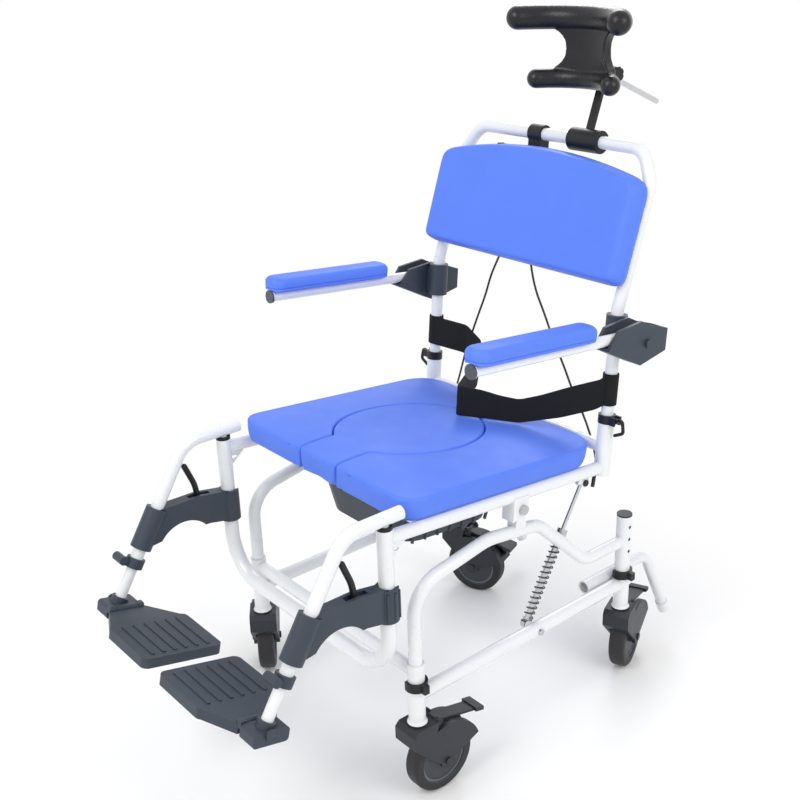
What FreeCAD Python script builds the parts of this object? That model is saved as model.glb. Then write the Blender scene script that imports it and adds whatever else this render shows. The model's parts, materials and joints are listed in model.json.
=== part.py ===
"""Tilt shower commode chair: a white tubular wheelbase, a seat frame that tilts back on two struts,
swing-away footrests, flip-up armrests, a lift-out seat insert over a pan, and a headrest."""
import FreeCAD, Part
import math
import os
from FreeCAD import Placement, Rotation, Vector

# Shared values
OVERRUN = 1.0             # how far a cutter runs past what it cuts
SLIDE_GAP = 0.1           # radial play of a tube in its sleeve
PIN_GAP = 0.05            # radial play of a pin in its hole
WELD_GAP = 0.1            # room between pieces that are welded or bolted together
SOFT_GAP = 0.3            # room between a soft piece and what is beside it
WALL = 1.6                # wall of the frame tubes
TUBE_OD = 22.2            # main frame tube
RAIL_OD = 25.4            # lower rails, front hoop
SLEEVE_OD = 28.6          # sockets that the main tube slides in

# Wheelbase
TRACK = 456.0             # between the left and right legs
WHEELBASE = 506.0         # between the front and rear legs
SOCKET_FOOT_Z = 153.0     # underside of the leg sockets
FRONT_SLEEVE_TOP_Z = 265.0
REAR_SOCKET_TOP_Z = 218.0
LOWER_RAIL_Z = 204.0
FRONT_CROSS_Z = 248.0
SPIGOT_TOP_Z = 262.0      # rear inner tube that the post slides on
CLIP_Z = 226.0            # middle of the locking clips
CLIP_HEIGHT = 15.0
CLIP_WALL = 5.0
CLIP_EAR = 8.0
CLIP_PIN_D = 6.0
STRUT_FOOT_Y = 22.0

# Anti-tippers
RECEIVER_OD = 25.4
RECEIVER_INSET = 26.0     # receiver axis inboard of the leg
RECEIVER_Z = 212.0
RECEIVER_FRONT_Y = 176.0
RECEIVER_REAR_Y = 296.0
ANTI_TIP_OD = 20.0
ANTI_TIP_BEND_Y = 352.0
ANTI_TIP_BEND_R = 32.0
ANTI_TIP_FOOT_Y = 424.0
ANTI_TIP_FOOT_Z = 62.0
ANTI_TIP_CAP_LENGTH = 24.0
ANTI_TIP_CAP_WALL = 2.4
ANTI_TIP_ENTRY = 70.0     # length of tube inside the receiver

# Upper frame
LEG_ENTRY = 90.0          # how deep the bent tube stands in the front sleeve
UPPER_KNEE_Z = 400.0
UPPER_CREST_Y = -95.0
UPPER_CREST_DROP = 34.0   # crest of the bent tube below the pivot
UPPER_SHOULDER_Y = 22.0
UPPER_SHOULDER_DROP = 50.0
UPPER_TROUGH_Y = 146.0
UPPER_TROUGH_Z = 294.0
UPPER_KNEE_R = 60.0
UPPER_CREST_R = 120.0
UPPER_SHOULDER_R = 60.0
UPPER_TROUGH_R = 42.0
POST_TOP_Z = 346.0
POST_HOLE_D = 7.0
POST_HOLE_TOP_DROP = 21.0
POST_HOLE_STEP = 25.0
POST_HOLE_COUNT = 3
PLUG_HEIGHT = 3.0
PLUG_DEPTH = 12.0

# Tilt pivot
PIVOT_Y = -25.0
PIVOT_Z = 462.0
PIVOT_BOLT_D = 10.0
PIVOT_BOLT_HEAD_D = 17.0
PIVOT_BOLT_HEAD = 6.0
LUG_R = 9.0
LUG_THICK = 20.0
LUG_BASE = 26.0
LUG_PLAY = 0.5            # between the lug and each cheek of the channel
CHANNEL_WALL = 3.0
CHANNEL_CHEEK_R = 13.0
CHANNEL_WEB_DROP = 20.0
RAKE = 5.0                # the seat slopes back this much at its front stop
TILT_RANGE = 25.0

# Seat frame, in the seat's own axes: origin on the tilt pivot, y to the rear, z square to the seat
RAIL_RISE = 22.0          # rail axis above the pivot axis
RAIL_INSET = 2.0          # rail axis inboard of the legs
BACK_Y = 210.0            # back posts behind the pivot
BACK_SOCKET_TOP = 105.0
BACK_SOCKET_FOOT = 8.0
BACK_POST_FOOT = 30.0
FRONT_CROSS_Y = -196.0
REAR_CROSS_RISE = 58.0    # rear cross tube, between the back sockets
STRUT_HEAD_Y = 186.5
STRUT_HEAD_DROP = 9.0     # strut head pin below the pivot axis
STRUT_TAB_THICK = 3.0
STRUT_TAB_WIDTH = 18.0
STRUT_TAB_SEAT = 6.0      # thickness of the bracket's top, under the rail
STRUT_INSET = 23.0        # strut inboard of the rail
GUSSET_LENGTH = 46.0
GUSSET_HEIGHT = 34.0
GUSSET_THICK = 3.0

# Front hoop, in its own upright axes: origin on top of the left upright
HOOP_Y = -303.0
HOOP_RISE = 63.0          # top of the uprights above the pivot
HOOP_DROP = 200.0         # bottom bar below the pivot
HOOP_BEND_R = 78.0
HOOP_CAP = 5.0

# Seat cushion
CUSHION_OVERHANG = 6.0    # beyond the rail's axis
CUSHION_FRONT = -244.0
CUSHION_REAR = 197.0
CUSHION_THICK = 47.0
CUSHION_CROWN = 11.0
CUSHION_CORNER_R = 34.0
CUSHION_REAR_CORNER_R = 62.0
CUSHION_TUCK = 9.0        # how far the sides draw in below the widest line
INSERT_NECK = 96.0
INSERT_GAP = 2.5
INSERT_BOWL_Y = -44.0
INSERT_BOWL_RX = 116.0
INSERT_BOWL_RY = 141.0
INSERT_LIFT = 80.0

# Commode pan
PAN_TOP_WIDTH = 268.0
PAN_FOOT_WIDTH = 214.0
PAN_FRONT = -168.0
PAN_REAR = 92.0
PAN_DEPTH = 108.0
PAN_TAPER = 24.0
PAN_WALL = 3.0
PAN_FLANGE = 12.0
PAN_FLANGE_THICK = 4.0
PAN_TOP_DROP = 3.5        # flange top below the cushion's underside
PAN_CORNER_R = 46.0
PAN_RIB_COUNT = 7
PAN_RIB_D = 6.0
PAN_TRAVEL = 210.0
RUNNER_WALL = 2.0
RUNNER_LIP = 8.0
RUNNER_STRAP = 18.0
RUNNER_HEIGHT = 14.0

# Back frame and pad
PUSH_BAR_Y = 275.0
PUSH_BAR_Z = 565.0
BACK_BEND_Z = 306.0       # where the posts start to lean back, above the armrest clamps
PUSH_BAR_KNEE_Z = 512.0
PUSH_BAR_INSET = 30.0     # corner of the push bar inboard of the post
PUSH_BAR_R = 44.0
BACK_PAD_OVERHANG = 12.4
BACK_PAD_FOOT = 342.0
BACK_PAD_SIDE_TOP = 514.0
BACK_PAD_TOP = 548.0
BACK_PAD_THICK = 41.0
BACK_PAD_CORNER = 14.0
BACK_PAD_EDGE = 13.0      # how far the rounded edges draw in at the face
BACK_PAD_SEAT = 7.0       # depth of the two grooves in which the posts lie
BACK_PAD_SHOULDER_INSET = 36.0

# Collars on the back sockets
COLLAR_HEIGHT = 15.0
COLLAR_WALL = 4.2
COLLAR_LEVER_THICK = 6.0
COLLAR_LEVER_REACH = 26.0
COLLAR_LEVER_WIDTH = 10.0
COLLAR_EAR = 13.0

# Armrests
ARM_OFFSET = 37.0         # outboard of the back post
ARM_OD = 19.0
ARM_RISE = 271.0
ARM_FRONT = -156.0
ARM_PIVOT_Y = 229.0
ARM_PIVOT_RISE = 258.0
ARM_BOLT_D = 8.0
ARM_BOLT_HEAD_D = 15.0
ARM_BOLT_HEAD = 5.0
ARM_TONGUE = 12.0         # tube behind the pivot
ARM_CAP = 5.0
ARM_CAP_D = 24.0
ARM_FLIP = 95.0
ARM_PAD_FRONT = -158.0
ARM_PAD_LENGTH = 262.0
ARM_PAD_WIDTH = 48.0
ARM_PAD_THICK = 27.0
ARM_PAD_EDGE_R = 10.0
BRACKET_FOOT = 238.0
BRACKET_TOP = 298.0
BRACKET_CREST = 289.0     # top of the cheeks before and behind the post
BRACKET_REAR_TOP = 277.0
BRACKET_APEX_Z = 221.0    # lowest point, under the post
BRACKET_TIP_Y = 130.0
BRACKET_TIP_Z = 257.0
BRACKET_WALL = 6.0
BRACKET_REAR = 280.0
BRACKET_CLAMP_WALL = 7.0
BRACKET_SIDE_GAP = 2.0

# Legrests, in the hoop's upright axes: origin on top of the left upright, y to the rear
HANGER_REAR = 32.0
HANGER_KNEE_Y = -76.0
HANGER_KNEE_R = 52.0
HANGER_LEAN = 32.0        # of the lower tube from upright
HANGER_LENGTH = 214.0     # lower tube from the knee
HANGER_PIN_D = 14.0
HANGER_PIN_LENGTH = 40.0
SWING_RANGE = 90.0
ARM_SLEEVE_TOP = 122.0    # along the lower tube, from the knee
ARM_SLEEVE_FOOT = 196.0
ARM_SLEEVE_OD = 37.0
CLAMP_TOP = -98.0
CLAMP_FOOT = -156.0
CLAMP_OD = 37.0
CLAMP_MOUTH = 21.0
CLAMP_RIB_ANGLES = [-75.0, -35.0, 5.0, 40.0]
WEB_THICK = 24.0
ARM_SCOOP_R = 55.0        # hollow under the swing arm
ARM_SCOOP_SINK = 34.0
LATCH_Y = -60.0
LATCH_Z = -106.0
LATCH_LENGTH = 78.0
LATCH_OD = 10.4
LATCH_SWEEP = 21.0
LATCH_RANGE = 18.0
LATCH_PIN_D = 5.0
FOOT_TUBE_OD = 18.6
FOOT_TUBE_WALL = 2.2
FOOT_TUBE_ENTRY = 84.0
FOOT_TUBE_OUT = 90.0      # inner tube below the hanger at its highest setting
FOOT_SLIDE = 40.0
FOOT_SLOT_WIDTH = 6.0
LOCK_COLLAR_HEIGHT = 17.0
LOCK_COLLAR_WALL = 5.0
LOCK_COLLAR_EAR = 20.0
HINGE_BLOCK_LENGTH = 62.0
HINGE_BLOCK_WIDTH = 36.0
HINGE_BLOCK_HEIGHT = 23.0
HINGE_BLOCK_BACK = 10.0   # middle of the block behind the end of the tube
FOOT_BOLT_HEAD_D = 18.0
FOOT_BOLT_HEAD = 4.0
PLATE_TILT = 14.0
PLATE_THICK = 17.0
PLATE_LENGTH = 143.0
PLATE_INNER_X = 21.0
PLATE_HINGE_INSET = 24.0  # hinge axis inboard of the legrest
PLATE_NECK_INSET = 78.0   # main panel's outer edge inboard of the legrest
PLATE_AHEAD = 51.0        # panel in front of the legrest tube
PLATE_CORNER_R = 12.0
PLATE_RIB_COUNT = 6
PLATE_RIB_WIDTH = 5.0
PLATE_RIB_RISE = 1.6
PLATE_FLIP = 85.0
PLATE_PIN_D = 6.0

# Headrest
HEAD_X = 70.0             # set to the left of the middle of the push bar
HEAD_CLAMP_D = 40.0
HEAD_CLAMP_LENGTH = 68.0
HEAD_STEM_WIDTH = 14.0
HEAD_STEM_THICK = 7.0
HEAD_STEM_BACK = 40.5     # socket behind the push bar
HEAD_STEM_RISE = 109.1    # socket above the push bar
HEAD_SOCKET_LENGTH = 18.0
HEAD_SOCKET_D = 20.0
HEAD_BAR_D = 10.0
HEAD_BAR_TILT = 23.0
HEAD_BAR_AHEAD = 17.0
HEAD_BAR_BEHIND = 158.0
HEAD_BAR_TRAVEL = 50.0
HEAD_EYE_D = 12.0
HEAD_PIN_D = 5.0
HEAD_PAD_AHEAD = 38.0     # lower roll in front of the socket
HEAD_PAD_DROP = 7.0
HEAD_PAD_THICK = 20.0
HEAD_PITCH = 100.0        # lower roll to upper roll
HEAD_UPPER_R = 20.0
HEAD_LOWER_R = 16.5
HEAD_UPPER_BEND = 131.0
HEAD_LOWER_BEND = 99.0
HEAD_UPPER_ANGLE = 117.0
HEAD_LOWER_ANGLE = 114.0
HEAD_WAIST = 84.0
HEAD_NOTCH_R = 34.0
HEAD_KNOB_D = 26.0
HEAD_KNOB_LENGTH = 14.0
HEAD_KNOB_FLUTES = 6
HEAD_SWING = 30.0

# Casters
WHEEL_D = 125.0
WHEEL_WIDTH = 31.0
WHEEL_TRAIL = 44.0
WHEEL_SIDE_GAP = 2.5
HOOD_GAP = 4.0
HOOD_WALL = 6.0
CHEEK_WALL = 7.0
CROWN_D = 54.0
CROWN_TOP_Z = 150.0
CROWN_EDGE = 8.0
CASTER_FLANGE_D = 34.0
CASTER_STEM_LENGTH = 20.0
AXLE_D = 8.0
AXLE_HEAD_D = 13.0
AXLE_HEAD = 3.0
HUB_D = 26.0
WHEEL_FACE_D = 92.0
WHEEL_FACE_INSET = 4.0
WHEEL_SHOULDER = 7.0
HOOD_TAIL_ANGLE = 18.0    # hood's rear edge above the axle, in degrees
CHEEK_FOOT_R = 15.0
PEDAL_Y = 30.0
PEDAL_Z = 143.0
PEDAL_WIDTH = 26.0
PEDAL_THICK = 5.0
PEDAL_TIP_Y = 132.0
PEDAL_TIP_Z = 119.0
PEDAL_TIP_WIDTH = 36.0
PEDAL_BARREL_D = 10.0
PEDAL_PIN_D = 5.0
PEDAL_EAR = 5.0
PEDAL_SIDE_GAP = 0.5
PEDAL_RANGE = 6.0
CASTER_YAW_ANGLES = {"front_left": 0.0, "rear_left": 22.6, "front_right": 55.0, "rear_right": -69.0}

# Struts and cables
STRUT_BODY_D = 12.0
STRUT_BORE_FOOT = 46.0    # the rod's bore starts this far above the foot pin
STRUT_ROD_ENTRY = 40.0
STRUT_BODY_LENGTH = 168.0
STRUT_EYE_D = 16.0
STRUT_EYE_THICK = 9.0
STRUT_CAP_D = 19.0
STRUT_CAP_LENGTH = 12.0
STRUT_ROD_D = 7.0
STRUT_PIN_D = 6.0
STRUT_PIN_PLAY = 2.6      # play of the open pivot
SPRING_WIRE = 2.4
SPRING_MEAN_R = 8.6
SPRING_TURNS = 16
CABLE_D = 4.0

# Place of the chair in the frame: the origin is on the floor under the middle of its outline
FRAME_SHIFT_X = 30.0
FRAME_SHIFT_Y = 56.0

X_AXIS = Vector(1, 0, 0)
Y_AXIS = Vector(0, 1, 0)
Z_AXIS = Vector(0, 0, 1)
LEG_X = TRACK / 2
RAIL_X = LEG_X - RAIL_INSET
STRUT_X = RAIL_X - STRUT_INSET
ARM_X = RAIL_X + ARM_OFFSET
CUSHION_WIDTH = 2 * (RAIL_X + CUSHION_OVERHANG)
BACK_PAD_WIDTH = 2 * (RAIL_X + BACK_PAD_OVERHANG)
BACK_PAD_SHOULDER = RAIL_X - BACK_PAD_SHOULDER_INSET
PUSH_BAR_CORNER_X = RAIL_X - PUSH_BAR_INSET
BACK_LEAN_ANGLE = math.degrees(math.atan2(PUSH_BAR_Y - BACK_Y, PUSH_BAR_Z - BACK_BEND_Z))
PLATE_HINGE_X = RAIL_X - PLATE_HINGE_INSET
PLATE_NECK_X = RAIL_X - PLATE_NECK_INSET
HOOP_TOP_Z = PIVOT_Z + HOOP_RISE
HOOP_FOOT_Z = PIVOT_Z - HOOP_DROP
UPPER_CREST_Z = PIVOT_Z - UPPER_CREST_DROP
UPPER_SHOULDER_Z = PIVOT_Z - UPPER_SHOULDER_DROP
HANGER_RISE = HOOP_CAP + WELD_GAP + TUBE_OD / 2 + SOFT_GAP
FRONT_Y = -WHEELBASE / 2
REAR_Y = WHEELBASE / 2
SLEEVE_BORE = TUBE_OD + 2 * SLIDE_GAP
SPIGOT_OD = SLEEVE_OD - 2 * WALL - 2 * SLIDE_GAP
RAIL_TOP = RAIL_RISE + TUBE_OD / 2
CUSHION_FOOT = RAIL_TOP + SOFT_GAP
RECEIVER_X = LEG_X - RECEIVER_INSET
TILT_TURN = Rotation(X_AXIS, -RAKE)
SEAT_PLACE = Placement(Vector(0, PIVOT_Y, PIVOT_Z), TILT_TURN)
HEAD_DIR = Vector(0, math.cos(math.radians(HEAD_BAR_TILT)), -math.sin(math.radians(HEAD_BAR_TILT)))


def rod(start, end, diameter):
    """Round bar between two points."""
    along = end - start
    return Part.makeCylinder(diameter / 2, along.Length, start, along)


def block(low, high):
    """Box between two opposite corners."""
    size = high - low
    return Part.makeBox(size.x, size.y, size.z, low)


def span(x, y, z, axis, length, diameter):
    """Round bar centred on a point, along an axis."""
    half = Vector(axis) * (length / 2)
    middle = Vector(x, y, z)
    return rod(middle - half, middle + half, diameter)


def side_plate(points, x_low, x_high):
    """Plate with a side outline of (y, z) points, between two x values."""
    corners = [Vector(x_low, y, z) for y, z in points]
    face = Part.Face(Part.makePolygon(corners + corners[:1]))
    return face.extrude(Vector(x_high - x_low, 0, 0))


def path(points, radii, extra=0):
    """Wire through the points, its corners turned into tangent arcs; both ends run on by extra."""
    corners = [Vector(p) for p in points]
    head = (corners[0] - corners[1]).normalize()
    tail = (corners[-1] - corners[-2]).normalize()
    corners[0] = corners[0] + head * extra
    corners[-1] = corners[-1] + tail * extra
    turns = radii if isinstance(radii, (list, tuple)) else [radii] * (len(corners) - 2)
    edges = []
    start = corners[0]
    for corner, after, radius in zip(corners[1:-1], corners[2:], turns):
        inward = (start - corner).normalize()
        outward = (after - corner).normalize()
        turn = math.pi - inward.getAngle(outward)
        reach = radius * math.tan(turn / 2)
        bend_start = corner + inward * reach
        bend_end = corner + outward * reach
        inner = (inward + outward).normalize()
        middle = corner + inner * (radius / math.cos(turn / 2) - radius)
        edges.append(Part.LineSegment(start, bend_start).toShape())
        edges.append(Part.Arc(bend_start, middle, bend_end).toShape())
        start = bend_end
    edges.append(Part.LineSegment(start, corners[-1]).toShape())
    return Part.Wire(edges)


def along_wire(wire, diameter):
    """Round bar swept along a wire."""
    start = wire.Edges[0].Vertexes[0].Point
    ahead = wire.Edges[0].tangentAt(wire.Edges[0].FirstParameter)
    ring = Part.Wire(Part.makeCircle(diameter / 2, start, ahead))
    return wire.makePipeShell([ring], True, False)


def bent(points, radii, diameter, extra=0):
    """Round bar along the points, with tangent bends."""
    return along_wire(path(points, radii, extra), diameter)


def bent_tube(points, radii, diameter, wall):
    """Tube along the points, open at both ends."""
    outer = bent(points, radii, diameter)
    return outer.cut(bent(points, radii, diameter - 2 * wall, OVERRUN))


def welded(outers, bores):
    """The outer bodies joined, then every bore cut, so that the bores open into each other."""
    whole = outers[0].fuse(outers[1:]) if len(outers) > 1 else outers[0]
    for bore in bores:
        whole = whole.cut(bore)
    return whole


def mirrored(shape):
    """The same shape on the other side of the chair."""
    return shape.mirror(Vector(0, 0, 0), X_AXIS)


def both_sides(shape):
    return [shape, mirrored(shape)]


def on_seat(shape):
    """Moves a shape from the seat's own axes to its place at the front stop."""
    placed = shape.copy()
    placed.Placement = SEAT_PLACE.multiply(placed.Placement)
    return placed


def seat_point(x, y, z):
    return SEAT_PLACE.multVec(Vector(x, y, z))


def save(name, shapes):
    """Writes one node, moved to the frame's origin."""
    solids = shapes if isinstance(shapes, list) else [shapes]
    whole = solids[0] if len(solids) == 1 else Part.makeCompound(solids)
    whole = whole.copy()
    whole.translate(Vector(FRAME_SHIFT_X, FRAME_SHIFT_Y, 0))
    whole.exportStep(os.path.join("parts", name + ".step"))
    print(name, len(whole.Solids), round(whole.Volume), whole.isValid())


def rounded_outline(x_low, x_high, y_low, y_high, z, radii):
    """Flat wire of a rounded rectangle; radii run from the low-x low-y corner, counter-clockwise."""
    corners = [(x_low, y_low), (x_high, y_low), (x_high, y_high), (x_low, y_high)]
    steps = [(1, 0), (0, 1), (-1, 0), (0, -1)]
    edges = []
    for index in range(len(corners)):
        x, y = corners[index]
        before = steps[index - 1]
        after = steps[index]
        r = radii[index]
        a = Vector(x - before[0] * r, y - before[1] * r, z)
        b = Vector(x + after[0] * r, y + after[1] * r, z)
        inner = Vector(x + (after[0] - before[0]) * r, y + (after[1] - before[1]) * r, z)
        toward = (Vector(x, y, z) - inner).normalize()
        nx, ny = corners[(index + 1) % len(corners)]
        r_next = radii[(index + 1) % len(corners)]
        c = Vector(nx - after[0] * r_next, ny - after[1] * r_next, z)
        edges.append(Part.Arc(a, inner + toward * r, b).toShape())
        edges.append(Part.LineSegment(b, c).toShape())
    return Part.Wire(edges)


# Wheelbase

def clip_hole(y):
    """Hole for a locking clip's pin, through the outer wall of a leg."""
    return rod(Vector(LEG_X, y, CLIP_Z), Vector(LEG_X + SLEEVE_OD, y, CLIP_Z), CLIP_PIN_D + 2 * WELD_GAP)


def socket_foot(y):
    """Leg socket's flared foot, over the caster."""
    flare = (CASTER_FLANGE_D - SLEEVE_OD) / 2
    return Part.makeCone(CASTER_FLANGE_D / 2, SLEEVE_OD / 2, 2 * flare, Vector(LEG_X, y, SOCKET_FOOT_Z))


def wheelbase_side():
    """Lower rail with the front sleeve, the rear socket and its spigot, and the anti-tipper receiver."""
    foot = Vector(LEG_X, FRONT_Y, SOCKET_FOOT_Z)
    sleeve = rod(foot, Vector(LEG_X, FRONT_Y, FRONT_SLEEVE_TOP_Z), SLEEVE_OD)
    rear_foot = Vector(LEG_X, REAR_Y, SOCKET_FOOT_Z)
    socket = rod(rear_foot, Vector(LEG_X, REAR_Y, REAR_SOCKET_TOP_Z), SLEEVE_OD)
    spigot = rod(rear_foot, Vector(LEG_X, REAR_Y, SPIGOT_TOP_Z), SPIGOT_OD)
    rail_ends = (Vector(LEG_X, FRONT_Y, LOWER_RAIL_Z), Vector(LEG_X, REAR_Y, LOWER_RAIL_Z))
    rail = rod(*rail_ends, RAIL_OD)
    receiver = rod(Vector(RECEIVER_X, RECEIVER_FRONT_Y, RECEIVER_Z),
                   Vector(RECEIVER_X, RECEIVER_REAR_Y, RECEIVER_Z), RECEIVER_OD)
    boss_inner = STRUT_X + STRUT_BODY_D / 2 + WELD_GAP
    boss = rod(Vector(boss_inner, STRUT_FOOT_Y, LOWER_RAIL_Z), Vector(LEG_X, STRUT_FOOT_Y, LOWER_RAIL_Z),
               STRUT_EYE_D)
    bores = [rod(foot - Z_AXIS * OVERRUN, Vector(LEG_X, FRONT_Y, FRONT_SLEEVE_TOP_Z + OVERRUN), SLEEVE_BORE),
             rod(rear_foot - Z_AXIS * OVERRUN, Vector(LEG_X, REAR_Y, SPIGOT_TOP_Z + OVERRUN), SLEEVE_BORE),
             rod(*rail_ends, RAIL_OD - 2 * WALL),
             rod(Vector(RECEIVER_X, RECEIVER_FRONT_Y - OVERRUN, RECEIVER_Z),
                 Vector(RECEIVER_X, RECEIVER_REAR_Y + OVERRUN, RECEIVER_Z), ANTI_TIP_OD + 2 * SLIDE_GAP),
             rod(Vector(0, STRUT_FOOT_Y, LOWER_RAIL_Z), Vector(TRACK, STRUT_FOOT_Y, LOWER_RAIL_Z),
                 STRUT_PIN_D + 2 * WELD_GAP),
             clip_hole(FRONT_Y), clip_hole(REAR_Y)]
    return welded([sleeve, socket, spigot, rail, receiver, boss, socket_foot(FRONT_Y), socket_foot(REAR_Y)],
                  bores)


def front_cross_tube():
    """Cross tube between the front sleeves, coped to them."""
    ends = (Vector(-LEG_X, FRONT_Y, FRONT_CROSS_Z), Vector(LEG_X, FRONT_Y, FRONT_CROSS_Z))
    tube = rod(*ends, TUBE_OD).cut(rod(*ends, TUBE_OD - 2 * WALL))
    for x in (-LEG_X, LEG_X):
        tube = tube.cut(span(x, FRONT_Y, FRONT_CROSS_Z, Z_AXIS, 2 * TUBE_OD, SLEEVE_OD + 2 * WELD_GAP))
    return tube


def pivot_lug():
    """Lug that the seat tilts on, welded on the crest of the upper frame tube."""
    tube_z = UPPER_CREST_Z - (UPPER_CREST_Z - UPPER_SHOULDER_Z) * (
        (PIVOT_Y - UPPER_CREST_Y) / (UPPER_SHOULDER_Y - UPPER_CREST_Y))
    low = RAIL_X - LUG_THICK / 2
    high = RAIL_X + LUG_THICK / 2
    tip_z = PIVOT_Z
    outline = [(PIVOT_Y - LUG_BASE / 2, tube_z), (PIVOT_Y + LUG_BASE / 2, tube_z),
               (PIVOT_Y + LUG_R, tip_z), (PIVOT_Y - LUG_R, tip_z)]
    head = rod(Vector(low, PIVOT_Y, PIVOT_Z), Vector(high, PIVOT_Y, PIVOT_Z), 2 * LUG_R)
    return side_plate(outline, low, high).fuse(head)


def upper_frame_side():
    """Bent tube from the front sleeve over the tilt pivot to the rear post, with the post and the lug."""
    route = [(LEG_X, FRONT_Y, FRONT_SLEEVE_TOP_Z - LEG_ENTRY), (LEG_X, FRONT_Y, UPPER_KNEE_Z),
             (LEG_X, UPPER_CREST_Y, UPPER_CREST_Z), (LEG_X, UPPER_SHOULDER_Y, UPPER_SHOULDER_Z),
             (LEG_X, UPPER_TROUGH_Y, UPPER_TROUGH_Z), (LEG_X, REAR_Y, UPPER_TROUGH_Z)]
    radii = [UPPER_KNEE_R, UPPER_CREST_R, UPPER_SHOULDER_R, UPPER_TROUGH_R]
    post_foot = Vector(LEG_X, REAR_Y, REAR_SOCKET_TOP_Z + WELD_GAP)
    post_top = Vector(LEG_X, REAR_Y, POST_TOP_Z)
    inner = bent(route, radii, TUBE_OD - 2 * WALL)
    leg_foot = Vector(*route[0])
    bores = [inner, rod(leg_foot - Z_AXIS * OVERRUN, leg_foot + Z_AXIS * OVERRUN, TUBE_OD - 2 * WALL),
             rod(post_foot - Z_AXIS * OVERRUN, post_top + Z_AXIS * OVERRUN, SPIGOT_OD + 2 * SLIDE_GAP),
             rod(Vector(0, PIVOT_Y, PIVOT_Z), Vector(TRACK, PIVOT_Y, PIVOT_Z), PIVOT_BOLT_D + 2 * WELD_GAP),
             clip_hole(FRONT_Y), clip_hole(REAR_Y)]
    for index in range(POST_HOLE_COUNT):
        z = POST_TOP_Z - POST_HOLE_TOP_DROP - index * POST_HOLE_STEP
        bores.append(span(LEG_X, REAR_Y, z, X_AXIS, 2 * SLEEVE_OD, POST_HOLE_D))
    return welded([bent(route, radii, TUBE_OD), rod(post_foot, post_top, SLEEVE_OD), pivot_lug()], bores)


def leg_clip(y):
    """Plastic clip that snaps round a leg from outside, its pin through the leg's wall."""
    ring_d = SLEEVE_OD + 2 * CLIP_WALL
    low = CLIP_Z - CLIP_HEIGHT / 2
    ring = Part.makeCylinder(ring_d / 2, CLIP_HEIGHT, Vector(LEG_X, y, low))
    ear = block(Vector(LEG_X, y - CLIP_WALL, low), Vector(LEG_X + ring_d / 2 + CLIP_EAR, y + CLIP_WALL,
                                                         low + CLIP_HEIGHT))
    mouth = block(Vector(LEG_X - ring_d, y - ring_d, low - OVERRUN),
                  Vector(LEG_X - CLIP_EAR, y + ring_d, low + CLIP_HEIGHT + OVERRUN))
    clip = ring.fuse(ear).cut(mouth)
    clip = clip.cut(span(LEG_X, y, CLIP_Z, Z_AXIS, 2 * CLIP_HEIGHT, SLEEVE_OD + 2 * WELD_GAP))
    pin = rod(Vector(LEG_X + SLEEVE_BORE / 2 - 2 * WALL, y, CLIP_Z), Vector(LEG_X + ring_d / 2, y, CLIP_Z),
              CLIP_PIN_D)
    return clip.fuse(pin)


def post_plug():
    """Cap in the open top of a rear post."""
    cap = Part.makeCylinder(SLEEVE_OD / 2, PLUG_HEIGHT, Vector(LEG_X, REAR_Y, POST_TOP_Z + WELD_GAP))
    stem = Part.makeCylinder(SPIGOT_OD / 2, PLUG_DEPTH, Vector(LEG_X, REAR_Y, POST_TOP_Z - PLUG_DEPTH))
    return cap.fuse(stem)


def headed_bolt(start, end, diameter, head_d, head):
    """Bolt with a round head beyond the start and a nut beyond the end."""
    along = (end - start).normalize()
    shank = rod(start, end, diameter)
    return shank.fuse([rod(start - along * head, start, head_d), rod(end, end + along * head, head_d)])


def channel_faces():
    """Inner and outer x of the pivot channel's cheeks, over the lug."""
    half = LUG_THICK / 2 + LUG_PLAY
    return (RAIL_X - half - CHANNEL_WALL, RAIL_X - half, RAIL_X + half, RAIL_X + half + CHANNEL_WALL)


def frame_bolts():
    """Tilt pivot bolts and strut foot bolts."""
    faces = channel_faces()
    pivot = headed_bolt(Vector(faces[3] + WELD_GAP, PIVOT_Y, PIVOT_Z),
                        Vector(faces[0] - WELD_GAP, PIVOT_Y, PIVOT_Z),
                        PIVOT_BOLT_D, PIVOT_BOLT_HEAD_D, PIVOT_BOLT_HEAD)
    outer = LEG_X + RAIL_OD / 2 + WELD_GAP
    inner = STRUT_X - STRUT_EYE_THICK / 2 - WELD_GAP
    foot = headed_bolt(Vector(outer, STRUT_FOOT_Y, LOWER_RAIL_Z), Vector(inner, STRUT_FOOT_Y, LOWER_RAIL_Z),
                       STRUT_PIN_D, 2 * STRUT_PIN_D, STRUT_PIN_D / 2)
    return both_sides(pivot) + both_sides(foot)


def anti_tip_side():
    """Bent tube that plugs into the receiver and ends in a rubber foot."""
    entry = RECEIVER_REAR_Y - ANTI_TIP_ENTRY
    route = [(RECEIVER_X, entry, RECEIVER_Z), (RECEIVER_X, ANTI_TIP_BEND_Y, RECEIVER_Z),
             (RECEIVER_X, ANTI_TIP_FOOT_Y, ANTI_TIP_FOOT_Z)]
    tube = bent_tube(route, ANTI_TIP_BEND_R, ANTI_TIP_OD, WALL)
    end = Vector(*route[-1])
    down = (end - Vector(*route[-2])).normalize()
    cap = rod(end - down * (ANTI_TIP_CAP_LENGTH - ANTI_TIP_CAP_WALL), end + down * ANTI_TIP_CAP_WALL,
              ANTI_TIP_OD + 2 * ANTI_TIP_CAP_WALL)
    hole = rod(end - down * ANTI_TIP_CAP_LENGTH, end + down * WELD_GAP, ANTI_TIP_OD + 2 * WELD_GAP)
    return [tube, cap.cut(hole)]


# Casters, in their own axes: the swivel on Z, the wheel trailing behind it along Y

WHEEL_R = WHEEL_D / 2
SLOT_WIDTH = WHEEL_WIDTH + 2 * WHEEL_SIDE_GAP
FORK_WIDTH = SLOT_WIDTH + 2 * CHEEK_WALL
HOOD_R = WHEEL_R + HOOD_GAP + HOOD_WALL


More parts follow.
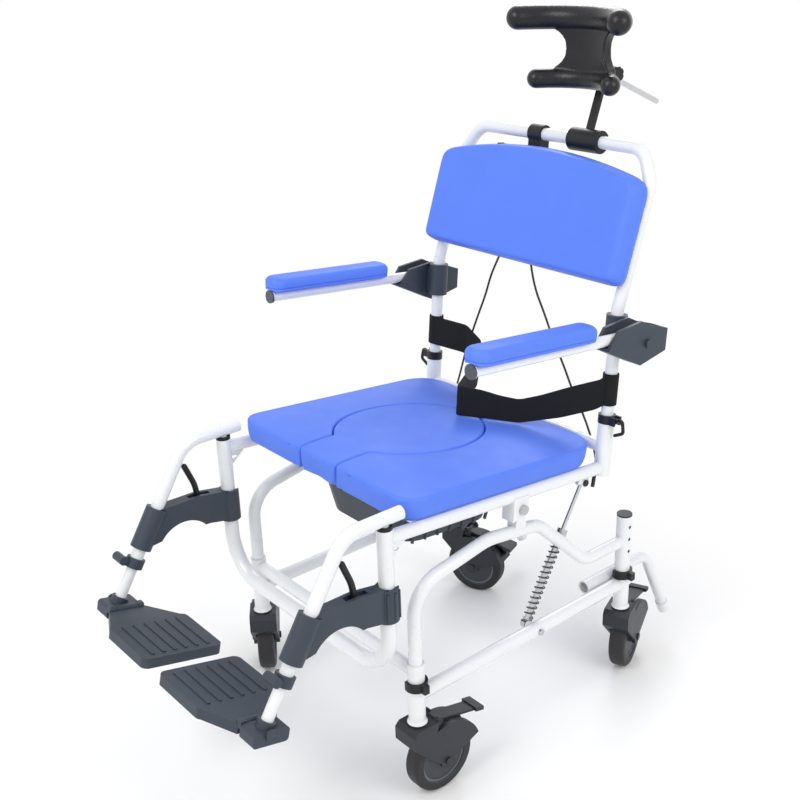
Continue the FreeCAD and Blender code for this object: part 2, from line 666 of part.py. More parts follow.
def hood_point(degrees):
    """Point on the outside of the hood, at an angle about the axle."""
    turn = math.radians(degrees)
    return Vector(0, WHEEL_TRAIL + HOOD_R * math.cos(turn), WHEEL_R + HOOD_R * math.sin(turn))


def fork_outline():
    """Side outline of the fork: crown, hood over the wheel, and cheeks down to the axle."""
    crown_r = CROWN_D / 2
    crown_front = Vector(0, -crown_r, CROWN_TOP_Z - 4 * CROWN_EDGE)
    crown_low = Vector(0, -crown_r, CROWN_TOP_Z - CROWN_EDGE)
    crown_high = Vector(0, CROWN_EDGE - crown_r, CROWN_TOP_Z)
    crown_back = Vector(0, crown_r, CROWN_TOP_Z)
    hood_start = hood_point(90 + HOOD_TAIL_ANGLE)
    hood_top = hood_point(45 + HOOD_TAIL_ANGLE)
    hood_end = hood_point(HOOD_TAIL_ANGLE)
    foot_back = Vector(0, WHEEL_TRAIL + CHEEK_FOOT_R, WHEEL_R)
    foot_low = Vector(0, WHEEL_TRAIL, WHEEL_R - CHEEK_FOOT_R)
    foot_front = Vector(0, WHEEL_TRAIL - CHEEK_FOOT_R, WHEEL_R)
    edges = [Part.LineSegment(crown_front, crown_low), Part.LineSegment(crown_low, crown_high),
             Part.LineSegment(crown_high, crown_back), Part.LineSegment(crown_back, hood_start),
             Part.Arc(hood_start, hood_top, hood_end), Part.LineSegment(hood_end, foot_back),
             Part.Arc(foot_back, foot_low, foot_front), Part.LineSegment(foot_front, crown_front)]
    return Part.Wire([edge.toShape() for edge in edges])


def caster_fork():
    """Moulded fork with its hood, brake ears and stem, and the axle bolt."""
    half = FORK_WIDTH / 2
    side = Part.Face(fork_outline()).extrude(Vector(FORK_WIDTH, 0, 0))
    side.translate(Vector(-half, 0, 0))
    stem_foot = Vector(0, 0, CROWN_TOP_Z)
    flange_top = Vector(0, 0, SOCKET_FOOT_Z - SOFT_GAP)
    flange = rod(stem_foot - Z_AXIS * CROWN_EDGE, flange_top, CASTER_FLANGE_D)
    stem = rod(stem_foot, Vector(0, 0, SOCKET_FOOT_Z + CASTER_STEM_LENGTH), TUBE_OD)
    ear_inner = PEDAL_WIDTH / 2 + PEDAL_SIDE_GAP
    ears = [rod(Vector(x, PEDAL_Y, PEDAL_Z), Vector(x + PEDAL_EAR, PEDAL_Y, PEDAL_Z), 2 * PEDAL_BARREL_D)
            for x in (ear_inner, -ear_inner - PEDAL_EAR)]
    middle = Vector(0, WHEEL_TRAIL, WHEEL_R)
    slot = span(middle.x, middle.y, middle.z, X_AXIS, SLOT_WIDTH, 2 * (WHEEL_R + HOOD_GAP))
    pocket = block(Vector(-ear_inner, PEDAL_Y - PEDAL_BARREL_D * 0.75, WHEEL_R + WHEEL_R / 2),
                   Vector(ear_inner, WHEEL_TRAIL + 2 * HOOD_R, CROWN_TOP_Z + CROWN_TOP_Z))
    axle_hole = span(middle.x, middle.y, middle.z, X_AXIS, 2 * FORK_WIDTH, AXLE_D + 2 * WELD_GAP)
    pin_hole = span(0, PEDAL_Y, PEDAL_Z, X_AXIS, 2 * FORK_WIDTH, PEDAL_PIN_D + 2 * PIN_GAP)
    fork = welded([side, flange, stem] + ears, [slot, pocket, axle_hole, pin_hole])
    axle = headed_bolt(Vector(half + WELD_GAP, middle.y, middle.z), Vector(-half - WELD_GAP, middle.y, middle.z),
                       AXLE_D, AXLE_HEAD_D, AXLE_HEAD)
    return [fork, axle]


def caster_wheel():
    """Tyre and hub, turned about the axle, with a dished face and a hub boss."""
    half = WHEEL_WIDTH / 2
    face = WHEEL_FACE_D / 2
    boss = half + WHEEL_SIDE_GAP - SOFT_GAP
    bore = AXLE_D / 2 + PIN_GAP
    tread = WHEEL_R - WHEEL_SHOULDER
    points = [(bore, boss), (HUB_D / 2, boss), (HUB_D / 2, half - WHEEL_FACE_INSET),
              (face, half - WHEEL_FACE_INSET), (face, half)]
    outline = [Vector(x, r, 0) for r, x in points]
    crown = half - WHEEL_SHOULDER
    edge_drop = WHEEL_SHOULDER * (1 - math.sqrt(0.5))
    edges = [Part.LineSegment(a, b).toShape() for a, b in zip(outline, outline[1:])]
    shoulder = Vector(half, tread, 0)
    tread_edge = Vector(crown, WHEEL_R, 0)
    bulge = Vector(half - edge_drop, WHEEL_R - edge_drop, 0)
    edges.append(Part.LineSegment(outline[-1], shoulder).toShape())
    edges.append(Part.Arc(shoulder, bulge, tread_edge).toShape())
    edges.append(Part.LineSegment(tread_edge, Vector(0, WHEEL_R, 0)).toShape())
    edges.append(Part.LineSegment(Vector(0, WHEEL_R, 0), Vector(0, bore, 0)).toShape())
    edges.append(Part.LineSegment(Vector(0, bore, 0), outline[0]).toShape())
    solid = Part.Face(Part.Wire(edges)).revolve(Vector(0, 0, 0), X_AXIS, 360)
    wheel = solid.fuse(mirrored(solid)).removeSplitter()
    wheel.translate(Vector(0, WHEEL_TRAIL, WHEEL_R))
    return wheel


def brake_pedal():
    """Pedal between the fork's ears, over the wheel, with its brake shoe and a wider tread."""
    half = PEDAL_WIDTH / 2
    barrel = span(0, PEDAL_Y, PEDAL_Z, X_AXIS, PEDAL_WIDTH, PEDAL_BARREL_D)
    pin = span(0, PEDAL_Y, PEDAL_Z, X_AXIS, FORK_WIDTH - CHEEK_WALL, PEDAL_PIN_D)
    thick = PEDAL_THICK / 2
    arm = side_plate([(PEDAL_Y, PEDAL_Z - thick), (PEDAL_TIP_Y, PEDAL_TIP_Z - thick),
                      (PEDAL_TIP_Y, PEDAL_TIP_Z + thick), (PEDAL_Y, PEDAL_Z + thick)], -half, half)
    tip_start = PEDAL_TIP_Y - PEDAL_TIP_WIDTH / 2
    fall = (PEDAL_Z - PEDAL_TIP_Z) / (PEDAL_TIP_Y - PEDAL_Y)
    start_z = PEDAL_Z - (tip_start - PEDAL_Y) * fall
    tread = side_plate([(tip_start, start_z - thick), (PEDAL_TIP_Y, PEDAL_TIP_Z - thick),
                        (PEDAL_TIP_Y, PEDAL_TIP_Z + PEDAL_THICK), (tip_start, start_z + PEDAL_THICK)],
                       -PEDAL_TIP_WIDTH / 2, PEDAL_TIP_WIDTH / 2)
    return barrel.fuse([pin, arm, tread])


CASTER_PLACES = {"front_left": (LEG_X, FRONT_Y), "rear_left": (LEG_X, REAR_Y),
                 "front_right": (-LEG_X, FRONT_Y), "rear_right": (-LEG_X, REAR_Y)}


def on_post(shape, corner):
    """Turns a caster piece to its yaw and sets it under its leg."""
    x, y = CASTER_PLACES[corner]
    placed = shape.copy()
    placed.Placement = Placement(Vector(x, y, 0), Rotation(Z_AXIS, CASTER_YAW_ANGLES[corner])).multiply(placed.Placement)
    return placed


# Seat frame

def hoop_cutter():
    """Clearance round the left upright of the front hoop."""
    return rod(Vector(RAIL_X, HOOP_Y, 0), Vector(RAIL_X, HOOP_Y, 2 * HOOP_TOP_Z), RAIL_OD + 2 * WELD_GAP)


def rail_front():
    """Where the rail's axis meets the hoop, in the seat's axes."""
    turn = math.radians(RAKE)
    return (HOOP_Y - PIVOT_Y - RAIL_RISE * math.sin(turn)) / math.cos(turn)


def pivot_channel():
    """Channel under the rail: two cheeks round the pivot and a web in front."""
    faces = channel_faces()
    web = -CHANNEL_WEB_DROP
    outline = [(web, web), (-LUG_R / 2, -CHANNEL_CHEEK_R), (CHANNEL_CHEEK_R, -LUG_R),
               (CHANNEL_CHEEK_R, RAIL_RISE), (web, RAIL_RISE)]
    whole = side_plate(outline, faces[0], faces[3])
    room = side_plate([(web + CHANNEL_WALL, 2 * web), (2 * CHANNEL_CHEEK_R, 2 * web),
                       (2 * CHANNEL_CHEEK_R, RAIL_RISE + OVERRUN), (web + CHANNEL_WALL, RAIL_RISE + OVERRUN)],
                      faces[1], faces[2])
    return whole.cut(room)


def strut_bracket():
    """Bracket under the rail that holds the strut's head between two tabs."""
    half_eye = STRUT_EYE_THICK / 2 + 2 * LUG_PLAY
    inner = STRUT_X - half_eye - STRUT_TAB_THICK
    outer = STRUT_X + half_eye + STRUT_TAB_THICK
    y_low = STRUT_HEAD_Y - STRUT_TAB_WIDTH
    y_high = STRUT_HEAD_Y + STRUT_TAB_WIDTH / 2
    seat_z = RAIL_RISE - TUBE_OD / 2 + STRUT_TAB_SEAT / 2
    tabs = block(Vector(inner, y_low, -STRUT_HEAD_DROP), Vector(outer, y_high, seat_z))
    tabs = tabs.fuse([rod(Vector(inner, STRUT_HEAD_Y, -STRUT_HEAD_DROP), Vector(outer, STRUT_HEAD_Y,
                      -STRUT_HEAD_DROP), STRUT_TAB_WIDTH)])
    room = block(Vector(STRUT_X - half_eye, y_low - OVERRUN, -STRUT_TAB_WIDTH - STRUT_HEAD_DROP),
                 Vector(STRUT_X + half_eye, y_high + OVERRUN, seat_z - STRUT_TAB_SEAT))
    seat = block(Vector(outer - STRUT_TAB_THICK, y_low, seat_z - STRUT_TAB_SEAT),
                 Vector(RAIL_X, y_high, seat_z))
    return tabs.cut(room).fuse(seat)


def gusset():
    """Slotted corner plate between the hoop and the rail."""
    top = RAIL_RISE - TUBE_OD / 4
    front = rail_front()
    low = RAIL_X - GUSSET_THICK / 2
    outline = [(front, top), (front + GUSSET_LENGTH, top), (front + RAIL_OD / 2, top - GUSSET_HEIGHT),
               (front, top - GUSSET_HEIGHT)]
    plate = side_plate(outline, low, low + GUSSET_THICK)
    slot_y = front + RAIL_OD / 2 + GUSSET_LENGTH / 9
    slot_z = top - GUSSET_HEIGHT / 2
    slot_d = GUSSET_LENGTH / 8
    slot = [rod(Vector(low - OVERRUN, slot_y + shift, slot_z),
                Vector(low + GUSSET_THICK + OVERRUN, slot_y + shift, slot_z), slot_d) for shift in (0, slot_d)]
    middle = block(Vector(low - OVERRUN, slot_y, slot_z - slot_d / 2),
                   Vector(low + GUSSET_THICK + OVERRUN, slot_y + slot_d, slot_z + slot_d / 2))
    return plate.cut(slot[0].fuse([slot[1], middle]))


def seat_rail_side():
    """Seat rail with its back socket, gusset, pivot channel and strut bracket."""
    ends = (Vector(RAIL_X, rail_front(), RAIL_RISE), Vector(RAIL_X, BACK_Y - SLEEVE_OD / 4, RAIL_RISE))
    socket = (Vector(RAIL_X, BACK_Y, BACK_SOCKET_FOOT), Vector(RAIL_X, BACK_Y, BACK_SOCKET_TOP))
    bores = [rod(*ends, TUBE_OD - 2 * WALL),
             rod(socket[0] - Z_AXIS * OVERRUN, socket[1] + Z_AXIS * OVERRUN, SLEEVE_BORE),
             rod(Vector(0, 0, 0), Vector(TRACK, 0, 0), PIVOT_BOLT_D + 2 * PIN_GAP),
             rod(Vector(0, STRUT_HEAD_Y, -STRUT_HEAD_DROP), Vector(RAIL_X, STRUT_HEAD_Y, -STRUT_HEAD_DROP),
                 STRUT_PIN_D + 2 * WELD_GAP)]
    side = welded([rod(*ends, TUBE_OD), rod(*socket, SLEEVE_OD), gusset(), pivot_channel(), strut_bracket()],
                  bores)
    return on_seat(side).cut(hoop_cutter())


def front_hoop():
    """Hoop in front of the seat: two uprights and the bottom bar, bent from one tube."""
    route = [(RAIL_X, HOOP_Y, HOOP_TOP_Z), (RAIL_X, HOOP_Y, HOOP_FOOT_Z),
             (-RAIL_X, HOOP_Y, HOOP_FOOT_Z), (-RAIL_X, HOOP_Y, HOOP_TOP_Z)]
    return bent_tube(route, HOOP_BEND_R, RAIL_OD, WALL)


def seat_cross_tube(y, z, end_d):
    """Cross tube of the seat frame, coped to what it meets at both ends."""
    ends = (Vector(-RAIL_X, y, z), Vector(RAIL_X, y, z))
    tube = rod(*ends, TUBE_OD).cut(rod(*ends, TUBE_OD - 2 * WALL))
    return tube, end_d


def seat_cross_tubes():
    """Front cross tube between the rails and rear cross tube between the back sockets."""
    front, _ = seat_cross_tube(FRONT_CROSS_Y, RAIL_RISE, TUBE_OD)
    rear, _ = seat_cross_tube(BACK_Y, REAR_CROSS_RISE, SLEEVE_OD)
    for x in (-RAIL_X, RAIL_X):
        front = front.cut(span(x, FRONT_CROSS_Y, RAIL_RISE, Y_AXIS, 2 * TUBE_OD, TUBE_OD + 2 * WELD_GAP))
        rear = rear.cut(span(x, BACK_Y, REAR_CROSS_RISE, Z_AXIS, 2 * TUBE_OD, SLEEVE_OD + 2 * WELD_GAP))
    return [on_seat(front), on_seat(rear)]


PAN_HALF = PAN_TOP_WIDTH / 2 + PAN_FLANGE
PAN_FLANGE_TOP = RAIL_TOP - PAN_TOP_DROP


def pan_runner_side():
    """Channel that the pan's flange slides in, with two straps out to the rail."""
    web = PAN_HALF + SOFT_GAP
    low = PAN_FLANGE_TOP - PAN_FLANGE_THICK - SOFT_GAP - RUNNER_WALL
    high = PAN_FLANGE_TOP + SOFT_GAP + RUNNER_WALL
    front = FRONT_CROSS_Y + TUBE_OD / 2 + WELD_GAP
    rear = STRUT_HEAD_Y - STRUT_TAB_WIDTH - STRUT_TAB_WIDTH
    outer = block(Vector(web - RUNNER_LIP, front, low), Vector(web + RUNNER_WALL, rear, high))
    room = block(Vector(0, front - OVERRUN, low + RUNNER_WALL), Vector(web, rear + OVERRUN, high - RUNNER_WALL))
    straps = [block(Vector(web, y, low), Vector(RAIL_X, y + RUNNER_STRAP, low + RUNNER_WALL))
              for y in (front, rear - RUNNER_STRAP)]
    rail_room = rod(Vector(RAIL_X, 2 * FRONT_CROSS_Y, RAIL_RISE), Vector(RAIL_X, -2 * FRONT_CROSS_Y, RAIL_RISE),
                    TUBE_OD + 2 * WELD_GAP)
    return on_seat(outer.cut(room).fuse(straps).cut(rail_room))


def hoop_bush():
    """Black bush in the top of a hoop upright, with the bore that the legrest's pin turns in."""
    top = Vector(RAIL_X, HOOP_Y, HOOP_TOP_Z + WELD_GAP)
    flange = rod(top, top + Z_AXIS * HOOP_CAP, RAIL_OD)
    stem = rod(top - Z_AXIS * HANGER_PIN_LENGTH / 2, top, RAIL_OD - 2 * WALL - 2 * WELD_GAP)
    bore = rod(top - Z_AXIS * HANGER_PIN_LENGTH, top + Z_AXIS * HANGER_PIN_LENGTH, HANGER_PIN_D + 2 * PIN_GAP)
    return flange.fuse(stem).cut(bore)


def strut_head_pin():
    """Pin through the strut bracket's tabs."""
    half_eye = STRUT_EYE_THICK / 2 + 2 * LUG_PLAY + STRUT_TAB_THICK + WELD_GAP
    return on_seat(headed_bolt(Vector(STRUT_X + half_eye, STRUT_HEAD_Y, -STRUT_HEAD_DROP),
                               Vector(STRUT_X - half_eye, STRUT_HEAD_Y, -STRUT_HEAD_DROP),
                               STRUT_PIN_D, 2 * STRUT_PIN_D, STRUT_PIN_D / 2))


def seat_fittings():
    return both_sides(hoop_bush()) + both_sides(strut_head_pin()) + [release_housing()]


# Seat cushion and insert, in the seat's axes

CUSHION_LEVELS_SHARE = [0, 0.14, 0.45, 0.78, 0.9, 0.97, 1]
CUSHION_INSETS_SHARE = [1, 0.35, 0, 0, 0.45, 1.2, 2.6]


def cushion_body():
    """Upholstered block: sides drawn in at the foot, widest at the seam, crowned on top."""
    wires = []
    for level, inset in zip(CUSHION_LEVELS_SHARE, CUSHION_INSETS_SHARE):
        pull = CUSHION_TUCK * inset
        half = CUSHION_WIDTH / 2 - pull
        front_r = CUSHION_CORNER_R - pull / 2
        rear_r = CUSHION_REAR_CORNER_R - pull / 2
        wires.append(rounded_outline(-half, half, CUSHION_FRONT + pull, CUSHION_REAR - pull,
                                     CUSHION_FOOT + level * (CUSHION_THICK + SOFT_GAP),
                                     [front_r, front_r, rear_r, rear_r]))
    return Part.makeLoft(wires, True, True)


def insert_cutter(gap):
    """Keyhole outline of the lift-out insert, as a tall solid, widened by a gap."""
    bowl = Part.Ellipse(Vector(0, INSERT_BOWL_Y, 0), INSERT_BOWL_RY + gap, INSERT_BOWL_RX + gap)
    bowl.rotate(Placement(Vector(0, INSERT_BOWL_Y, 0), Rotation(Z_AXIS, 90), Vector(0, 0, 0)))
    face = Part.Face(Part.Wire([bowl.toShape()]))
    tall = 2 * (CUSHION_FOOT + CUSHION_THICK)
    bowl_solid = face.extrude(Vector(0, 0, tall))
    neck = block(Vector(-INSERT_NECK / 2 - gap, 2 * CUSHION_FRONT, 0),
                 Vector(INSERT_NECK / 2 + gap, INSERT_BOWL_Y, tall))
    return bowl_solid.fuse(neck)


def seat_cushion():
    return on_seat(cushion_body().cut(insert_cutter(INSERT_GAP)))


def seat_insert():
    return on_seat(cushion_body().common(insert_cutter(0)))


# Commode pan, in the seat's axes

def pan_outline(share, inset, z):
    """Pan outline between its rim (share 0) and its foot (share 1)."""
    half = PAN_TOP_WIDTH / 2 - share * (PAN_TOP_WIDTH - PAN_FOOT_WIDTH) / 2 - inset
    return rounded_outline(-half, half, PAN_FRONT + share * PAN_TAPER + inset,
                           PAN_REAR - share * PAN_TAPER - inset, z, [PAN_CORNER_R - inset] * 4)


def commode_pan():
    """Tapered pan with a flange round its rim and upright ribs on its sides."""
    foot = PAN_FLANGE_TOP - PAN_DEPTH
    outer = Part.makeLoft([pan_outline(0, 0, PAN_FLANGE_TOP), pan_outline(1, 0, foot)], True, True)
    inner = Part.makeLoft([pan_outline(0, PAN_WALL, PAN_FLANGE_TOP + OVERRUN),
                           pan_outline(1, PAN_WALL, foot + PAN_WALL)], True, True)
    rim = Part.Face(pan_outline(0, -PAN_FLANGE, PAN_FLANGE_TOP - PAN_FLANGE_THICK)).extrude(
        Vector(0, 0, PAN_FLANGE_THICK))
    ribs = []
    step = (PAN_REAR - PAN_FRONT - 2 * PAN_CORNER_R) / (PAN_RIB_COUNT - 1)
    for index in range(PAN_RIB_COUNT):
        y = PAN_FRONT + PAN_CORNER_R + index * step
        for sign in (-1, 1):
            ribs.append(rod(Vector(sign * PAN_FOOT_WIDTH / 2, y, foot),
                            Vector(sign * PAN_TOP_WIDTH / 2, y, PAN_FLANGE_TOP - PAN_FLANGE_THICK), PAN_RIB_D))
    return on_seat(outer.fuse([rim] + ribs).cut(inner))


# Back frame and pad, in the seat's axes

def on_lean(shape):
    """Turn a shape drawn on the upright post about the bend, to the lean of the upper posts."""
    leaned = shape.copy()
    leaned.rotate(Vector(0, BACK_Y, BACK_BEND_Z), X_AXIS, -BACK_LEAN_ANGLE)
    return leaned


def back_route():
    """Corners of the back tube: up the left post, which leans back above the armrests, across and down again."""
    rise = PUSH_BAR_KNEE_Z - BACK_BEND_Z
    knee_y = BACK_Y + rise * math.tan(math.radians(BACK_LEAN_ANGLE))
    side = [(RAIL_X, BACK_Y, BACK_POST_FOOT + RAIL_TOP / 8), (RAIL_X, BACK_Y, BACK_BEND_Z),
            (RAIL_X, knee_y, PUSH_BAR_KNEE_Z), (PUSH_BAR_CORNER_X, PUSH_BAR_Y, PUSH_BAR_Z)]
    return side + [(-x, y, z) for x, y, z in reversed(side)]


def back_frame():
    """Back posts and push bar, bent from one tube."""
    return on_seat(bent_tube(back_route(), PUSH_BAR_R, TUBE_OD, WALL))


BACK_PAD_DEPTHS_SHARE = [0, 0.1, 0.35, 0.62, 0.86, 1]
BACK_PAD_INSETS_SHARE = [1, 0.5, 0.1, 0, 0.2, 0.7]


def back_pad_outline(y, inset):
    """Pad outline at one depth: straight foot and sides, rounded shoulders and an arched top."""
    half = BACK_PAD_WIDTH / 2 - inset
    foot = BACK_PAD_FOOT + inset
    side = BACK_PAD_SIDE_TOP - inset
    top = BACK_PAD_TOP - inset
    shoulder_x = BACK_PAD_SHOULDER - inset / 2
    shoulder_z = (side + top) / 2
    diagonal = BACK_PAD_CORNER * (1 - math.sqrt(0.5))
    bulge = (half - shoulder_x) / 4
    points = [Vector(-half + BACK_PAD_CORNER, y, foot), Vector(half - BACK_PAD_CORNER, y, foot),
              Vector(half, y, foot + BACK_PAD_CORNER), Vector(half, y, side - BACK_PAD_CORNER),
              Vector(shoulder_x, y, shoulder_z), Vector(-shoulder_x, y, shoulder_z),
              Vector(-half, y, side - BACK_PAD_CORNER), Vector(-half, y, foot + BACK_PAD_CORNER)]
    shoulder_mid = (side + shoulder_z) / 2 - BACK_PAD_CORNER / 4
    edges = [Part.LineSegment(points[0], points[1]),
             Part.Arc(points[1], Vector(half - diagonal, y, foot + diagonal), points[2]),
             Part.LineSegment(points[2], points[3]),
             Part.Arc(points[3], Vector(half - bulge, y, shoulder_mid), points[4]),
             Part.Arc(points[4], Vector(0, y, top), points[5]),
             Part.Arc(points[5], Vector(bulge - half, y, shoulder_mid), points[6]),
             Part.LineSegment(points[6], points[7]),
             Part.Arc(points[7], Vector(diagonal - half, y, foot + diagonal), points[0])]
    return Part.Wire([edge.toShape() for edge in edges])


def back_pad():
    """Moulded back: crowned face, rounded edges and, behind, a groove for each of the leaning posts."""
    rear = BACK_Y - TUBE_OD / 2 - SOFT_GAP + BACK_PAD_SEAT
    wires = [back_pad_outline(rear - (1 - share) * (BACK_PAD_THICK + BACK_PAD_SEAT), inset * BACK_PAD_EDGE)
             for share, inset in zip(BACK_PAD_DEPTHS_SHARE, BACK_PAD_INSETS_SHARE)]
    body = on_lean(Part.makeLoft(wires, True, True))
    return on_seat(body.cut(bent(back_route(), PUSH_BAR_R, TUBE_OD + 2 * SOFT_GAP)))


# Collars on the back sockets, in the seat's axes

COLLAR_OD = TUBE_OD + 2 * COLLAR_WALL
COLLAR_FOOT = BACK_SOCKET_TOP + WELD_GAP
COLLAR_LEVER_X = RAIL_X + COLLAR_OD / 2 + COLLAR_LEVER_THICK


def socket_collar():
    """Clamp ring on the back post, over the socket, with two ears for the cam lever's pin."""
    ring = Part.makeCylinder(COLLAR_OD / 2, COLLAR_HEIGHT, Vector(RAIL_X, BACK_Y, COLLAR_FOOT))
    half = COLLAR_LEVER_WIDTH / 2 + PEDAL_SIDE_GAP
    ears = block(Vector(RAIL_X, BACK_Y - half - COLLAR_WALL, COLLAR_FOOT),
                 Vector(COLLAR_LEVER_X + COLLAR_LEVER_THICK / 2, BACK_Y + half + COLLAR_WALL,
                        COLLAR_FOOT + COLLAR_HEIGHT))
    gap = block(Vector(RAIL_X + COLLAR_OD / 2, BACK_Y - half, 0),
                Vector(2 * COLLAR_LEVER_X, BACK_Y + half, 2 * COLLAR_FOOT))
    middle = COLLAR_FOOT + COLLAR_HEIGHT / 2
    pin = span(COLLAR_LEVER_X, BACK_Y, middle, Y_AXIS, 2 * half + 2 * COLLAR_WALL, COLLAR_WALL)
    return on_seat(welded([ring, ears], [gap, rod(Vector(RAIL_X, BACK_Y, 0), Vector(RAIL_X, BACK_Y, 2 * COLLAR_FOOT),
                                                 SLEEVE_BORE)]).fuse(pin))


def collar_lever():
    """Cam lever on a collar: a round hook that hangs down beside the socket."""
    middle = COLLAR_FOOT + COLLAR_HEIGHT / 2
    cam = span(COLLAR_LEVER_X, BACK_Y, middle, Y_AXIS, COLLAR_LEVER_WIDTH, COLLAR_LEVER_WIDTH)
    route = [(COLLAR_LEVER_X, BACK_Y, middle),
             (COLLAR_LEVER_X + COLLAR_LEVER_REACH / 2, BACK_Y, middle + COLLAR_LEVER_THICK),
             (COLLAR_LEVER_X + COLLAR_LEVER_REACH * 2 / 3, BACK_Y, middle - COLLAR_LEVER_REACH * 2 / 3),
             (COLLAR_LEVER_X, BACK_Y, middle - COLLAR_LEVER_REACH)]
    hook = bent(route, COLLAR_LEVER_THICK, COLLAR_LEVER_THICK)
    tip = Part.makeSphere(COLLAR_LEVER_THICK / 2, Vector(*route[-1]))
    hole = span(COLLAR_LEVER_X, BACK_Y, middle, Y_AXIS, 2 * COLLAR_LEVER_WIDTH, COLLAR_WALL + 2 * PIN_GAP)
    return on_seat(cam.fuse([hook, tip]).cut(hole))


# Armrests, in the seat's axes

def arm_bracket():
    """Moulded channel clamped on the back post: two cheeks round the armrest's pivot, open on top."""
    cheek_room = ARM_OD / 2 + BRACKET_SIDE_GAP
    x_in = ARM_X - cheek_room - BRACKET_WALL
    x_out = ARM_X + cheek_room + BRACKET_WALL
    clamp = Part.makeCylinder(TUBE_OD / 2 + BRACKET_CLAMP_WALL, BRACKET_TOP - BRACKET_FOOT,
                              Vector(RAIL_X, BACK_Y, BRACKET_FOOT))
    outline = [(BRACKET_TIP_Y, BRACKET_TIP_Z), (BACK_Y + BRACKET_WALL, BRACKET_APEX_Z),
               (BRACKET_REAR, BRACKET_FOOT), (BRACKET_REAR, BRACKET_REAR_TOP), (BACK_Y + TUBE_OD, BRACKET_CREST),
               (BACK_Y, BRACKET_TOP), (BRACKET_TIP_Y + TUBE_OD, BRACKET_CREST)]
    cheeks = side_plate(outline, x_in, x_out)
    stop_top = ARM_RISE - ARM_OD / 2 - SOFT_GAP
    stop_rear = ARM_PIVOT_Y - ARM_OD / 2 - BRACKET_WALL / 2
    stop_front = stop_rear - 2 * BRACKET_WALL
    fall = (BRACKET_TIP_Z - BRACKET_APEX_Z) / (BACK_Y + BRACKET_WALL - BRACKET_TIP_Y)
    pocket_front = BRACKET_TIP_Y + TUBE_OD
    floor_front = BRACKET_TIP_Z - TUBE_OD * fall + BRACKET_WALL
    floor_rear = BRACKET_TIP_Z - (stop_front - BRACKET_TIP_Y) * fall + BRACKET_WALL
    high = BRACKET_TOP + OVERRUN
    room = side_plate([(stop_rear, BRACKET_APEX_Z + 2 * BRACKET_WALL), (BRACKET_REAR - BRACKET_WALL, BRACKET_FOOT
                       + BRACKET_WALL), (BRACKET_REAR - BRACKET_WALL, high), (stop_rear, high)],
                      x_in + BRACKET_WALL, x_out - BRACKET_WALL)
    pocket = side_plate([(pocket_front, floor_front), (stop_front, floor_rear), (stop_front, high),
                         (pocket_front, high)], x_in + BRACKET_WALL, x_out - BRACKET_WALL)
    over_stop = block(Vector(x_in + BRACKET_WALL, BRACKET_TIP_Y - OVERRUN, stop_top),
                      Vector(x_out - BRACKET_WALL, stop_rear + OVERRUN, high))
    bolt_hole = rod(Vector(RAIL_X + TUBE_OD / 2, ARM_PIVOT_Y, ARM_PIVOT_RISE),
                    Vector(2 * ARM_X, ARM_PIVOT_Y, ARM_PIVOT_RISE), ARM_BOLT_D + 2 * WELD_GAP)
    post = rod(Vector(RAIL_X, BACK_Y, 0), Vector(RAIL_X, BACK_Y, 2 * BRACKET_TOP), SLEEVE_BORE)
    bridge = block(Vector(RAIL_X, BACK_Y - TUBE_OD / 2, BRACKET_FOOT),
                   Vector(x_in + BRACKET_WALL / 2, BACK_Y + TUBE_OD / 2, BRACKET_CREST))
    bracket = welded([clamp, bridge, cheeks], [room, pocket, over_stop, bolt_hole, post])
    bolt = rod(Vector(x_in + WELD_GAP, ARM_PIVOT_Y, ARM_PIVOT_RISE),
               Vector(x_out + WELD_GAP, ARM_PIVOT_Y, ARM_PIVOT_RISE), ARM_BOLT_D)
    head = rod(Vector(x_out + WELD_GAP, ARM_PIVOT_Y, ARM_PIVOT_RISE),
               Vector(x_out + WELD_GAP + ARM_BOLT_HEAD, ARM_PIVOT_Y, ARM_PIVOT_RISE), ARM_BOLT_HEAD_D)
    return [on_seat(bracket), on_seat(bolt.fuse(head))]


def arm_tube():
    """Armrest tube with its pivot lug under the rear end, and a cap in the front end."""
    rear = ARM_PIVOT_Y + ARM_TONGUE
    tube = rod(Vector(ARM_X, ARM_FRONT, ARM_RISE), Vector(ARM_X, rear, ARM_RISE), ARM_OD)
    lug = span(ARM_X, ARM_PIVOT_Y, ARM_PIVOT_RISE, X_AXIS, ARM_OD - BRACKET_SIDE_GAP, ARM_OD)
    neck = block(Vector(ARM_X - ARM_OD / 2 + BRACKET_SIDE_GAP / 2, ARM_PIVOT_Y - ARM_OD / 2, ARM_PIVOT_RISE),
                 Vector(ARM_X + ARM_OD / 2 - BRACKET_SIDE_GAP / 2, ARM_PIVOT_Y + ARM_OD / 2, ARM_RISE))
    bore = rod(Vector(ARM_X, ARM_FRONT - OVERRUN, ARM_RISE), Vector(ARM_X, ARM_PIVOT_Y - ARM_OD, ARM_RISE),
               ARM_OD - 2 * WALL)
    hole = span(ARM_X, ARM_PIVOT_Y, ARM_PIVOT_RISE, X_AXIS, 2 * ARM_OD, ARM_BOLT_D + 2 * PIN_GAP)
    arm = welded([tube, lug, neck], [bore, hole])
    cap = rod(Vector(ARM_X, ARM_FRONT - ARM_CAP, ARM_RISE), Vector(ARM_X, ARM_FRONT - WELD_GAP, ARM_RISE),
              ARM_CAP_D)
    plug = rod(Vector(ARM_X, ARM_FRONT - WELD_GAP, ARM_RISE), Vector(ARM_X, ARM_FRONT + ARM_CAP_D / 2, ARM_RISE),
               ARM_OD - 2 * WALL - 2 * WELD_GAP)
    return [on_seat(arm), on_seat(cap.fuse(plug))]


